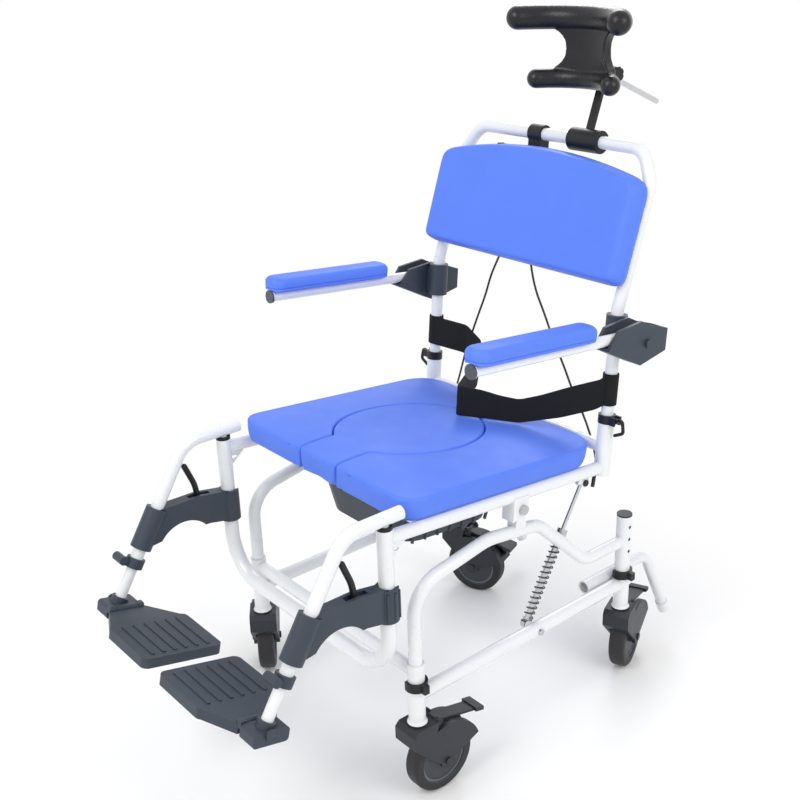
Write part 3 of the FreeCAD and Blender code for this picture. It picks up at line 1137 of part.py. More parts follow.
def arm_pad():
    """Moulded armrest pad on top of the tube, every edge rounded."""
    foot = ARM_RISE + ARM_OD / 2 + SOFT_GAP
    pad = block(Vector(ARM_X - ARM_PAD_WIDTH / 2, ARM_PAD_FRONT - ARM_CAP, foot),
                Vector(ARM_X + ARM_PAD_WIDTH / 2, ARM_PAD_FRONT - ARM_CAP + ARM_PAD_LENGTH, foot + ARM_PAD_THICK))
    pad = pad.makeFillet(ARM_PAD_EDGE_R, pad.Edges)
    recess = rod(Vector(ARM_X, ARM_FRONT - 2 * ARM_CAP, ARM_RISE), Vector(ARM_X, ARM_FRONT + SOFT_GAP, ARM_RISE),
                 ARM_CAP_D + 2 * SOFT_GAP)
    return on_seat(pad.cut(recess))


# Legrests, upright at the front stop: their pins stand in the hoop

LEAN = math.radians(HANGER_LEAN)
DOWN_LEG = Vector(0, -math.sin(LEAN), -math.cos(LEAN))
HANGER_KNEE = Vector(RAIL_X, HOOP_Y + HANGER_KNEE_Y, HOOP_TOP_Z + HANGER_RISE)
HANGER_END = HANGER_KNEE + DOWN_LEG * HANGER_LENGTH
LOCK_D = TUBE_OD + 2 * LOCK_COLLAR_WALL


def hanger():
    """Bent legrest tube with its pivot pin."""
    rear = Vector(RAIL_X, HOOP_Y + HANGER_REAR, HANGER_KNEE.z)
    route = [tuple(rear), tuple(HANGER_KNEE), tuple(HANGER_END)]
    pin = rod(Vector(RAIL_X, HOOP_Y, HANGER_KNEE.z), Vector(RAIL_X, HOOP_Y, HOOP_TOP_Z - HANGER_PIN_LENGTH),
              HANGER_PIN_D)
    return welded([bent(route, HANGER_KNEE_R, TUBE_OD), pin],
                  [bent(route, HANGER_KNEE_R, TUBE_OD - 2 * WALL, OVERRUN)])


def lock_collar():
    """Clamp collar under the hanger's end, with its wing ear and the knob of its screw."""
    start = HANGER_END + DOWN_LEG * WELD_GAP
    end = start + DOWN_LEG * LOCK_COLLAR_HEIGHT
    middle = (start + end) * (1 / 2)
    outward = Vector(0, -math.cos(LEAN), math.sin(LEAN))
    collar = rod(start, end, LOCK_D)
    ear_end = middle + outward * (LOCK_D / 2 + LOCK_COLLAR_EAR / 2)
    ear = rod(middle, ear_end, LOCK_COLLAR_HEIGHT - 2 * WALL)
    knob = rod(ear_end - X_AXIS * (LOCK_COLLAR_HEIGHT / 2), ear_end + X_AXIS * LOCK_COLLAR_EAR,
               LOCK_COLLAR_HEIGHT - WALL)
    hole = rod(start - DOWN_LEG * OVERRUN, end + DOWN_LEG * OVERRUN, FOOT_TUBE_OD + 2 * SLIDE_GAP)
    return welded([collar, ear, knob], [hole])


def swing_arm():
    """Moulded arm from the hanger's lower tube to the clamp on the hoop, with the latch pin across it."""
    low = RAIL_X - WEB_THICK / 2
    high = RAIL_X + WEB_THICK / 2
    top = HANGER_KNEE + DOWN_LEG * ARM_SLEEVE_TOP
    foot = HANGER_KNEE + DOWN_LEG * ARM_SLEEVE_FOOT
    clamp_top = HOOP_TOP_Z + CLAMP_TOP
    clamp_foot = HOOP_TOP_Z + CLAMP_FOOT
    latch = Vector(RAIL_X, HOOP_Y + LATCH_Y, HOOP_TOP_Z + LATCH_Z)
    outline = [(top.y, top.z), (latch.y, clamp_top + LATCH_OD), (HOOP_Y, clamp_top), (HOOP_Y, clamp_foot),
               (latch.y + LATCH_OD, clamp_foot + LATCH_OD), (top.y, clamp_foot + LATCH_OD), (foot.y, foot.z)]
    scoop = span(RAIL_X, (top.y + latch.y) / 2, clamp_foot + LATCH_OD - ARM_SCOOP_SINK, X_AXIS, CLAMP_OD,
                 2 * ARM_SCOOP_R)
    web = side_plate(outline, low, high).cut(scoop)
    sleeve = rod(top, foot, ARM_SLEEVE_OD)
    clamp = rod(Vector(RAIL_X, HOOP_Y, clamp_foot), Vector(RAIL_X, HOOP_Y, clamp_top), CLAMP_OD)
    ribs = []
    for turn in CLAMP_RIB_ANGLES:
        x = RAIL_X + CLAMP_OD / 2 * math.cos(math.radians(turn))
        y = HOOP_Y + CLAMP_OD / 2 * math.sin(math.radians(turn))
        ribs.append(rod(Vector(x, y, clamp_foot + LATCH_PIN_D), Vector(x, y, clamp_top - LATCH_PIN_D), LATCH_PIN_D))
    slot_half = LATCH_OD / 2 + PEDAL_SIDE_GAP
    slot = block(Vector(RAIL_X - slot_half, latch.y - 2 * LATCH_OD, latch.z - 2 * LATCH_OD),
                 Vector(RAIL_X + slot_half, latch.y + 2 * LATCH_OD, clamp_top + 2 * LATCH_OD))
    mouth = block(Vector(RAIL_X - CLAMP_MOUTH / 2, HOOP_Y, clamp_foot - OVERRUN),
                  Vector(RAIL_X + CLAMP_MOUTH / 2, HOOP_Y + CLAMP_OD, clamp_top + OVERRUN))
    bores = [rod(top - DOWN_LEG * ARM_SLEEVE_OD, foot + DOWN_LEG * OVERRUN, TUBE_OD + 2 * WELD_GAP),
             rod(Vector(RAIL_X, HOOP_Y, clamp_foot - OVERRUN),
                 Vector(RAIL_X, HOOP_Y, clamp_top + LATCH_OD + OVERRUN), RAIL_OD + 2 * SLIDE_GAP), slot, mouth]
    arm = welded([web, sleeve, clamp] + ribs, bores)
    pin = span(latch.x, latch.y, latch.z, X_AXIS, WEB_THICK, LATCH_PIN_D)
    return [arm.fuse(pin), lock_collar()]


def latch_lever():
    """Curved release lever that stands out of the swing arm."""
    latch = Vector(RAIL_X, HOOP_Y + LATCH_Y, HOOP_TOP_Z + LATCH_Z)
    route = [tuple(latch), (RAIL_X, latch.y - LATCH_SWEEP / 4, latch.z + LATCH_LENGTH / 2),
             (RAIL_X, latch.y - LATCH_SWEEP, latch.z + LATCH_LENGTH)]
    bar = bent(route, LATCH_LENGTH, LATCH_OD)
    eye = span(latch.x, latch.y, latch.z, X_AXIS, LATCH_OD, 2 * LATCH_OD)
    ball = Part.makeSphere(LATCH_OD / 2, Vector(*route[-1]))
    hole = span(latch.x, latch.y, latch.z, X_AXIS, 2 * LATCH_OD, LATCH_PIN_D + 2 * PIN_GAP)
    return bar.fuse([eye, ball]).cut(hole)


PLATE_ORIGIN = Vector(0, 0, 0)
FOOT_END = HANGER_END + DOWN_LEG * (FOOT_TUBE_OUT)
PLATE_PLACE = Placement(Vector(0, FOOT_END.y - HINGE_BLOCK_HEIGHT / 4, FOOT_END.z), Rotation(X_AXIS, -PLATE_TILT))
HINGE_RISE = PLATE_THICK / 2
KNUCKLE_D = 12.0
KNUCKLE_LENGTH = 10.0
BLOCK_INNER_X = PLATE_HINGE_X + KNUCKLE_D / 2 + LUG_PLAY


def on_plate(shape):
    placed = shape.copy()
    placed.Placement = PLATE_PLACE.multiply(placed.Placement)
    return placed


def extension():
    """Inner legrest tube with a groove down its front, and the moulded hinge block bolted on its end."""
    start = HANGER_END - DOWN_LEG * FOOT_TUBE_ENTRY
    tube = rod(start, FOOT_END, FOOT_TUBE_OD)
    bore = rod(start - DOWN_LEG * OVERRUN, FOOT_END + DOWN_LEG * OVERRUN, FOOT_TUBE_OD - 2 * FOOT_TUBE_WALL)
    outward = Vector(0, -math.cos(LEAN), math.sin(LEAN))
    groove = rod(HANGER_END + outward * (FOOT_TUBE_OD / 2),
                 HANGER_END + DOWN_LEG * (FOOT_TUBE_OUT / 2) + outward * (FOOT_TUBE_OD / 2), FOOT_SLOT_WIDTH / 2)
    low = HINGE_BLOCK_BACK - HINGE_BLOCK_LENGTH / 2
    high = HINGE_BLOCK_BACK + HINGE_BLOCK_LENGTH / 2
    outer_x = RAIL_X + HINGE_BLOCK_WIDTH / 2
    body = block(Vector(BLOCK_INNER_X, low, -HINGE_BLOCK_HEIGHT / 2), Vector(outer_x, high, HINGE_BLOCK_HEIGHT / 2))
    corners = [edge for edge in body.Edges if abs(edge.tangentAt(edge.FirstParameter).x) > 1 / 2]
    body = body.makeFillet(HINGE_BLOCK_HEIGHT / 4, corners)
    knuckles = []
    for y in (low, high - KNUCKLE_LENGTH):
        knuckles.append(rod(Vector(PLATE_HINGE_X, y, HINGE_RISE), Vector(PLATE_HINGE_X, y + KNUCKLE_LENGTH,
                                                                      HINGE_RISE), KNUCKLE_D))
        knuckles.append(block(Vector(PLATE_HINGE_X, y, HINGE_RISE - KNUCKLE_D / 2),
                              Vector(BLOCK_INNER_X + LUG_PLAY, y + KNUCKLE_LENGTH, HINGE_RISE + KNUCKLE_D / 2)))
    pin_hole = rod(Vector(PLATE_HINGE_X, low - OVERRUN, HINGE_RISE), Vector(PLATE_HINGE_X, high + OVERRUN, HINGE_RISE),
                   PLATE_PIN_D + 2 * WELD_GAP)
    boss = rod(FOOT_END - DOWN_LEG * FOOT_TUBE_OD, FOOT_END, FOOT_TUBE_OD + 2 * LOCK_COLLAR_WALL)
    seat = rod(FOOT_END - DOWN_LEG * (2 * FOOT_TUBE_OD), FOOT_END + DOWN_LEG * WELD_GAP, FOOT_TUBE_OD + 2 * WELD_GAP)
    bolt_y = FOOT_END - DOWN_LEG * (LATCH_PIN_D)
    bolt_hole = span(RAIL_X, bolt_y.y, bolt_y.z, X_AXIS, 2 * HINGE_BLOCK_WIDTH, PLATE_PIN_D + 2 * WELD_GAP)
    hinge = welded([on_plate(body.fuse(knuckles).cut(pin_hole)), boss], [seat, bolt_hole])
    pin = on_plate(rod(Vector(PLATE_HINGE_X, low, HINGE_RISE), Vector(PLATE_HINGE_X, high, HINGE_RISE), PLATE_PIN_D))
    bolt = rod(Vector(BLOCK_INNER_X + LUG_PLAY, bolt_y.y, bolt_y.z), Vector(outer_x + WELD_GAP, bolt_y.y, bolt_y.z),
               PLATE_PIN_D)
    head = rod(Vector(outer_x + WELD_GAP, bolt_y.y, bolt_y.z),
               Vector(outer_x + WELD_GAP + FOOT_BOLT_HEAD, bolt_y.y, bolt_y.z), FOOT_BOLT_HEAD_D)
    return [welded([tube], [bore, groove, bolt_hole]), hinge, pin, bolt.fuse(head)]


def footplate():
    """Ribbed plate with rounded corners, narrowing to the barrel of its hinge."""
    front = -PLATE_AHEAD
    low = -PLATE_THICK / 2
    main = Part.Face(rounded_outline(PLATE_INNER_X, PLATE_NECK_X, front, front + PLATE_LENGTH, low,
                                     [PLATE_CORNER_R] * 4))
    plate = main.extrude(Vector(0, 0, PLATE_THICK))
    barrel_low = HINGE_BLOCK_BACK - HINGE_BLOCK_LENGTH / 2 + KNUCKLE_LENGTH + PEDAL_SIDE_GAP
    barrel_high = HINGE_BLOCK_BACK + HINGE_BLOCK_LENGTH / 2 - KNUCKLE_LENGTH - PEDAL_SIDE_GAP
    neck_points = [(PLATE_NECK_X - PLATE_CORNER_R, front), (PLATE_HINGE_X, barrel_low - KNUCKLE_LENGTH),
                   (PLATE_HINGE_X, barrel_high + KNUCKLE_LENGTH),
                   (PLATE_NECK_X - PLATE_CORNER_R, front + PLATE_LENGTH)]
    corners = [Vector(x, y, low) for x, y in neck_points]
    neck = Part.Face(Part.makePolygon(corners + corners[:1])).extrude(Vector(0, 0, PLATE_THICK))
    barrel = rod(Vector(PLATE_HINGE_X, barrel_low, HINGE_RISE), Vector(PLATE_HINGE_X, barrel_high, HINGE_RISE),
                 KNUCKLE_D)
    ribs = []
    step = (PLATE_LENGTH - 2 * PLATE_CORNER_R) / PLATE_RIB_COUNT
    for index in range(PLATE_RIB_COUNT):
        y = front + PLATE_CORNER_R + (index + 1 / 2) * step
        ribs.append(block(Vector(PLATE_INNER_X + PLATE_CORNER_R, y - PLATE_RIB_WIDTH / 2, 0),
                          Vector(PLATE_NECK_X - PLATE_CORNER_R, y + PLATE_RIB_WIDTH / 2,
                                 PLATE_THICK / 2 + PLATE_RIB_RISE)))
    rooms = [rod(Vector(PLATE_HINGE_X, -PLATE_LENGTH, HINGE_RISE), Vector(PLATE_HINGE_X, PLATE_LENGTH, HINGE_RISE),
                 PLATE_PIN_D + 2 * PIN_GAP)]
    for a, b in ((barrel_low - KNUCKLE_LENGTH - 1 / 2, barrel_low), (barrel_high, barrel_high + KNUCKLE_LENGTH + 1 / 2)):
        rooms.append(rod(Vector(PLATE_HINGE_X, a, HINGE_RISE), Vector(PLATE_HINGE_X, b, HINGE_RISE),
                         KNUCKLE_D + 2 * PEDAL_SIDE_GAP))
    return on_plate(welded([plate, neck, barrel] + ribs, rooms))


# Lap belt, in the seat's axes: a webbing strap that stands on edge on the seat

BELT_WIDTH = 57.0
BELT_THICK = 3.0
BELT_RISE = 138.0         # lower edge at the posts
BELT_REST = 0.4           # lower edge above the cushion
BELT_REAR_Y = BACK_Y - TUBE_OD / 2 - SOFT_GAP - BELT_THICK / 2
BELT_ROUTE = [(97, 127), (2, 62), (-45, 130), (-70, 180), (-100, 214), (-150, 221)]
BELT_RADII = [100, 14, 100, 60, 40, 60]
BELT_LOW_EDGE = [(-150, 133), (-100, 116), (-70, 94), (-45, 81), (97, 81), (163, 104), (216, 129)]
BELT_TOP_EDGE = [(223, 186), (174, 163), (128, 139), (95, 125), (66, 128), (40, 134), (3, 137), (-45, 139),
                 (-70, 151), (-100, 172), (-150, 190)]


def beside(points, shift):
    """Corner points moved square to a flat route, to its left by a shift."""
    ways = [(after - before).normalize() for before, after in zip(points, points[1:])]
    lefts = [Z_AXIS.cross(way) for way in ways]
    moved = [points[0] + lefts[0] * shift]
    for corner, a, b in zip(points[1:-1], lefts, lefts[1:]):
        middle = (a + b).normalize()
        moved.append(corner + middle * (shift / middle.dot(a)))
    return moved + [points[-1] + lefts[-1] * shift]


def belt_side(shift):
    """One face of the belt in plan, its bends concentric with the other face's."""
    points = [Vector(RAIL_X, BELT_REAR_Y, 0)] + [Vector(x, y, 0) for x, y in BELT_ROUTE]
    points.append(Vector(-RAIL_X, BELT_REAR_Y, 0))
    radii = []
    for before, corner, after, radius in zip(points, points[1:], points[2:], BELT_RADII):
        leftward = (corner - before).cross(after - corner).z > 0
        radii.append(radius - shift if leftward else radius + shift)
    return path(beside(points, shift), radii)


def lap_belt():
    """Strap looped round both back posts and lying forward on the seat."""
    tall = BELT_RISE + 2 * BELT_WIDTH
    sides = [belt_side(BELT_THICK / 2), belt_side(-BELT_THICK / 2)]
    ends = [Part.LineSegment(sides[0].Vertexes[index].Point, sides[1].Vertexes[index].Point).toShape()
            for index in (0, -1)]
    outline = Part.Wire(Part.sortEdges(sides[0].Edges + sides[1].Edges + ends)[0])
    sheet = Part.Face(outline).extrude(Vector(0, 0, tall))
    foot = CUSHION_FOOT + CUSHION_THICK + BELT_REST
    lower = [(-TRACK, BELT_RISE), (-RAIL_X, BELT_RISE)] + BELT_LOW_EDGE + [(RAIL_X, BELT_RISE), (TRACK, BELT_RISE)]
    upper = [(TRACK, BELT_RISE + BELT_WIDTH), (RAIL_X, BELT_RISE + BELT_WIDTH)] + BELT_TOP_EDGE
    upper += [(-RAIL_X, BELT_RISE + BELT_WIDTH), (-TRACK, BELT_RISE + BELT_WIDTH)]
    edge = [Vector(x, 0, max(z, foot)) for x, z in lower + upper]
    band = Part.Face(Part.makePolygon(edge + edge[:1])).extrude(Vector(0, 2 * BACK_Y, 0))
    strap = sheet.common(band)
    loop_d = TUBE_OD + 2 * SOFT_GAP
    for x in (-RAIL_X, RAIL_X):
        ring = Part.makeCylinder(loop_d / 2 + BELT_THICK, BELT_WIDTH, Vector(x, BACK_Y, BELT_RISE))
        strap = strap.fuse(ring)
    for x in (-RAIL_X, RAIL_X):
        strap = strap.cut(Part.makeCylinder(loop_d / 2, tall, Vector(x, BACK_Y, 0)))
    return on_seat(strap)


# Headrest

HEAD_CLAMP_X = HEAD_X - HEAD_CLAMP_LENGTH / 2
BAR_Y, BAR_Z = seat_point(0, PUSH_BAR_Y, PUSH_BAR_Z).y, seat_point(0, PUSH_BAR_Y, PUSH_BAR_Z).z
SOCKET_MID = Vector(HEAD_X, BAR_Y + HEAD_STEM_BACK, BAR_Z + HEAD_STEM_RISE)
HEAD_PAD_Y = SOCKET_MID.y - HEAD_PAD_AHEAD
HEAD_PAD_Z = SOCKET_MID.z - HEAD_PAD_DROP


def headrest_clamp():
    """Round clamp on the push bar."""
    body = rod(Vector(HEAD_CLAMP_X, BAR_Y, BAR_Z), Vector(HEAD_CLAMP_X + HEAD_CLAMP_LENGTH, BAR_Y, BAR_Z),
               HEAD_CLAMP_D)
    edges = [edge for edge in body.Edges if edge.Closed]
    body = body.makeChamfer(WALL, edges)
    return body.cut(span(HEAD_X, BAR_Y, BAR_Z, X_AXIS, 2 * HEAD_CLAMP_LENGTH, SLEEVE_BORE))


def headrest_stem():
    """Flat stem on top of the clamp, with the socket of the headrest bar."""
    foot = Vector(HEAD_X, BAR_Y, BAR_Z)
    up = (SOCKET_MID - foot).normalize()
    length = (SOCKET_MID - foot).Length
    lean = math.degrees(math.atan2(SOCKET_MID.y - foot.y, SOCKET_MID.z - foot.z))
    bar = block(Vector(-HEAD_STEM_WIDTH / 2, -HEAD_STEM_THICK / 2, 0),
                Vector(HEAD_STEM_WIDTH / 2, HEAD_STEM_THICK / 2, length))
    bar.Placement = Placement(foot, Rotation(X_AXIS, -lean))
    half = HEAD_DIR * (HEAD_SOCKET_LENGTH / 2)
    socket = rod(SOCKET_MID - half, SOCKET_MID + half, HEAD_SOCKET_D)
    boss = rod(SOCKET_MID, SOCKET_MID + X_AXIS * (HEAD_SOCKET_D / 2 + HEAD_STEM_THICK), HEAD_STEM_WIDTH)
    clear = span(HEAD_X, BAR_Y, BAR_Z, X_AXIS, HEAD_CLAMP_LENGTH, HEAD_CLAMP_D + 2 * WELD_GAP)
    hole = rod(SOCKET_MID - HEAD_DIR * HEAD_CLAMP_D, SOCKET_MID + HEAD_DIR * HEAD_CLAMP_D,
               HEAD_BAR_D + 2 * SLIDE_GAP)
    screw_hole = rod(SOCKET_MID, SOCKET_MID + X_AXIS * HEAD_CLAMP_D, HEAD_PIN_D + 2 * PIN_GAP)
    return bar.fuse([socket, boss]).cut(clear).cut(hole).cut(screw_hole)


def headrest_knob():
    """Lobed knob whose screw presses on the headrest bar."""
    start = HEAD_SOCKET_D / 2 + HEAD_STEM_THICK + SOFT_GAP
    face = SOCKET_MID + X_AXIS * start
    body = rod(face, face + X_AXIS * HEAD_KNOB_LENGTH, HEAD_KNOB_D)
    flutes = []
    for index in range(HEAD_KNOB_FLUTES):
        turn = 2 * math.pi * index / HEAD_KNOB_FLUTES
        reach = HEAD_KNOB_D / 2 + HEAD_KNOB_D / 16
        flutes.append(rod(face + Vector(-OVERRUN, reach * math.cos(turn), reach * math.sin(turn)),
                          face + Vector(HEAD_KNOB_LENGTH + OVERRUN, reach * math.cos(turn), reach * math.sin(turn)),
                          HEAD_KNOB_D / 4))
    body = body.cut(flutes[0].fuse(flutes[1:]))
    screw = rod(SOCKET_MID + X_AXIS * (HEAD_BAR_D / 2 + WELD_GAP), face, HEAD_PIN_D)
    return body.fuse(screw)


HEAD_EYE = SOCKET_MID - HEAD_DIR * HEAD_BAR_AHEAD


def headrest_bar():
    """Plated bar through the socket, with an eye for the pad at its front end."""
    bar = rod(HEAD_EYE, SOCKET_MID + HEAD_DIR * HEAD_BAR_BEHIND, HEAD_BAR_D)
    eye = span(HEAD_EYE.x, HEAD_EYE.y, HEAD_EYE.z, X_AXIS, HEAD_BAR_D, HEAD_EYE_D)
    hole = span(HEAD_EYE.x, HEAD_EYE.y, HEAD_EYE.z, X_AXIS, 2 * HEAD_BAR_D, HEAD_PIN_D + 2 * PIN_GAP)
    return bar.fuse(eye).cut(hole)


def head_roll(z, radius, bend, sweep):
    """Curved roll with round ends, hollow side to the front."""
    half = math.radians(sweep / 2)
    points = []
    for turn in (-half, 0, half):
        points.append(Vector(HEAD_X + bend * math.sin(turn), HEAD_PAD_Y - bend * (1 - math.cos(turn)), z))
    arc = Part.Wire([Part.Arc(*points).toShape()])
    start = points[0]
    ahead = arc.Edges[0].tangentAt(arc.Edges[0].FirstParameter)
    roll = arc.makePipeShell([Part.Wire(Part.makeCircle(radius, start, ahead))], True, False)
    return roll.fuse([Part.makeSphere(radius, points[0]), Part.makeSphere(radius, points[-1])])


def headrest_pad():
    """Headrest of two curved rolls joined by a waisted panel, with the clevis of its hinge behind."""
    upper_z = HEAD_PAD_Z + HEAD_PITCH
    upper = head_roll(upper_z, HEAD_UPPER_R, HEAD_UPPER_BEND, HEAD_UPPER_ANGLE)
    lower = head_roll(HEAD_PAD_Z, HEAD_LOWER_R, HEAD_LOWER_BEND, HEAD_LOWER_ANGLE)
    centre = Vector(HEAD_X, HEAD_PAD_Y - HEAD_UPPER_BEND, HEAD_PAD_Z)
    outer = Part.makeCylinder(HEAD_UPPER_BEND + HEAD_PAD_THICK / 2, HEAD_PITCH, centre)
    inner = Part.makeCylinder(HEAD_UPPER_BEND - HEAD_PAD_THICK / 2, HEAD_PITCH, centre)
    wide = HEAD_WAIST + HEAD_NOTCH_R
    keep = block(Vector(HEAD_X - wide / 2, HEAD_PAD_Y - HEAD_UPPER_BEND / 2, HEAD_PAD_Z),
                 Vector(HEAD_X + wide / 2, HEAD_PAD_Y + HEAD_UPPER_BEND, upper_z))
    panel = outer.cut(inner).common(keep)
    for sign in (-1, 1):
        x = HEAD_X + sign * (HEAD_WAIST / 2 + HEAD_NOTCH_R)
        notch = span(x, HEAD_PAD_Y, HEAD_PAD_Z + HEAD_PITCH / 2, Y_AXIS, 2 * HEAD_UPPER_BEND, 2 * HEAD_NOTCH_R)
        panel = panel.cut(notch)
    pad = upper.fuse([lower, panel])
    plate_y = HEAD_PAD_Y + HEAD_PAD_THICK / 2
    inner_x = HEAD_BAR_D / 2 + LUG_PLAY
    ears = []
    for low in (HEAD_X + inner_x, HEAD_X - inner_x - HEAD_PIN_D):
        ears.append(rod(Vector(low, HEAD_EYE.y, HEAD_EYE.z), Vector(low + HEAD_PIN_D, HEAD_EYE.y, HEAD_EYE.z),
                        HEAD_EYE_D))
        ears.append(block(Vector(low, plate_y - HEAD_PAD_THICK / 2, HEAD_EYE.z - HEAD_EYE_D / 2),
                          Vector(low + HEAD_PIN_D, HEAD_EYE.y, HEAD_EYE.z + HEAD_EYE_D / 2)))
    pin = span(HEAD_EYE.x, HEAD_EYE.y, HEAD_EYE.z, X_AXIS, 2 * (inner_x + HEAD_PIN_D), HEAD_PIN_D)
    return pad.fuse(ears + [pin])


# Struts, upright plane at each side

STRUT_FOOT = Vector(STRUT_X, STRUT_FOOT_Y, LOWER_RAIL_Z)
STRUT_HEAD = seat_point(STRUT_X, STRUT_HEAD_Y, -STRUT_HEAD_DROP)
STRUT_DIR = (STRUT_HEAD - STRUT_FOOT).normalize()


def strut_cylinder():
    """Strut body with its foot eye, the seat of the spring and the cap that guides the rod."""
    eye = span(STRUT_FOOT.x, STRUT_FOOT.y, STRUT_FOOT.z, X_AXIS, STRUT_EYE_THICK, STRUT_EYE_D)
    body = rod(STRUT_FOOT + STRUT_DIR * (STRUT_EYE_D / 2 - WALL / 2),
               STRUT_FOOT + STRUT_DIR * STRUT_BODY_LENGTH, STRUT_BODY_D)
    spring_r = SPRING_MEAN_R + SPRING_WIRE / 2
    seat = rod(STRUT_FOOT + STRUT_DIR * (STRUT_EYE_D / 2), STRUT_FOOT + STRUT_DIR * (STRUT_EYE_D / 2 + SPRING_WIRE),
               2 * spring_r)
    top = STRUT_FOOT + STRUT_DIR * STRUT_BODY_LENGTH
    cap = rod(top, top + STRUT_DIR * STRUT_CAP_LENGTH, STRUT_CAP_D)
    pin_hole = span(STRUT_FOOT.x, STRUT_FOOT.y, STRUT_FOOT.z, X_AXIS, 2 * STRUT_EYE_THICK,
                    STRUT_PIN_D + 2 * PIN_GAP)
    bore = rod(STRUT_FOOT + STRUT_DIR * STRUT_BORE_FOOT, top + STRUT_DIR * (STRUT_CAP_LENGTH + OVERRUN),
               STRUT_ROD_D + 2 * SLIDE_GAP)
    return welded([eye, body, seat, cap], [pin_hole, bore])


def strut_rod():
    """Plated rod with the head eye; the eye's slack takes up the small error of the coupled motion."""
    foot = STRUT_FOOT + STRUT_DIR * (STRUT_BODY_LENGTH - STRUT_ROD_ENTRY)
    bar = rod(foot, STRUT_HEAD, STRUT_ROD_D)
    eye = span(STRUT_HEAD.x, STRUT_HEAD.y, STRUT_HEAD.z, X_AXIS, STRUT_EYE_THICK, STRUT_EYE_D)
    hole = span(STRUT_HEAD.x, STRUT_HEAD.y, STRUT_HEAD.z, X_AXIS, 2 * STRUT_EYE_THICK,
                STRUT_PIN_D + 2 * STRUT_PIN_PLAY)
    return bar.fuse(eye).cut(hole)


def biarc(start, start_way, end, end_way):
    """Two tangent arcs between two points with given directions."""
    chord = end - start
    ways = start_way + end_way
    lead = 2 * (1 - start_way.dot(end_way))
    step = (math.sqrt(chord.dot(ways) ** 2 + lead * chord.dot(chord)) - chord.dot(ways)) / lead
    joint = (start + end + (start_way - end_way) * step) * (1 / 2)
    edges = []
    for a, way, b, sign in ((start, start_way, joint, 1), (end, end_way * -1, joint, -1)):
        line = b - a
        chord_way = Vector(line).normalize()
        bisector = (way + chord_way).normalize()
        half_turn = way.getAngle(chord_way) / 2
        middle = a + bisector * (line.Length / (2 * math.cos(half_turn)))
        ends = (a, middle, b) if sign > 0 else (b, middle, a)
        edges.append(Part.Arc(*ends).toShape())
    return edges


def strut_spring():
    """Coil spring round the strut body, one tube along a helix of half-turn biarcs."""
    foot = STRUT_FOOT + STRUT_DIR * (STRUT_EYE_D / 2 + SPRING_WIRE * 1.5 + WELD_GAP)
    head = STRUT_FOOT + STRUT_DIR * (STRUT_BODY_LENGTH - SPRING_WIRE / 2 - WELD_GAP)
    side = X_AXIS
    other = STRUT_DIR.cross(side)
    length = (head - foot).Length
    halves = 2 * SPRING_TURNS

    def place(step):
        turn = math.pi * step
        around = side * (SPRING_MEAN_R * math.cos(turn)) + other * (SPRING_MEAN_R * math.sin(turn))
        return foot + around + STRUT_DIR * (length * step / halves)

    def way(step):
        turn = math.pi * step
        around = side * (-SPRING_MEAN_R * math.pi * math.sin(turn)) + other * (
            SPRING_MEAN_R * math.pi * math.cos(turn))
        return (around + STRUT_DIR * (length / halves)).normalize()

    edges = []
    for index in range(halves):
        edges += biarc(place(index), way(index), place(index + 1), way(index + 1))
    wire = Part.Wire(edges)
    print("least gap between turns", round(length / SPRING_TURNS - SPRING_WIRE, 2))
    ring = Part.Wire(Part.makeCircle(SPRING_WIRE / 2, place(0), way(0)))
    return wire.makePipeShell([ring], True, False)


# Tilt release: a hand lever under the push bar and a cable to the head of each strut

RELEASE_X = -45.0
RELEASE_WIDTH = 30.0
RELEASE_DEPTH = 23.0
RELEASE_DROP = 41.0       # housing's foot below the push bar's axis
RELEASE_CLAMP_WALL = 5.0
RELEASE_LEVER_LENGTH = 96.0
RELEASE_LEVER_WIDTH = 12.0
RELEASE_LEVER_THICK = 6.0
RELEASE_LEVER_DROP = 31.0
RELEASE_PIN_D = 5.0
RELEASE_PULL = 9.0
FERRULE_D = 7.0
FERRULE_LENGTH = 24.0
CABLE_BEND_SHARE = 0.45
LEFT_CABLE = [(-38, 295, 958.7), (-37, 273, 920), (-24, 258, 874), (-10, 240, 829), (4, 229, 782), (22, 224, 737),
              (44, 227, 694), (68, 225, 651), (94, 226, 609), (120, 223, 567), (147, 225, 526), (172, 221, 486),
              (193, 210, 454), (203, 192, 428)]
RIGHT_CABLE = [(-52, 295, 958.7), (-49, 273, 920), (-42, 258, 874), (-56, 240, 831), (-74, 229, 786),
               (-94, 224, 742), (-112, 227, 698), (-131, 225, 654), (-151, 226, 610), (-168, 223, 565),
               (-184, 225, 520), (-196, 221, 479), (-204, 208, 448), (-203, 190, 424)]


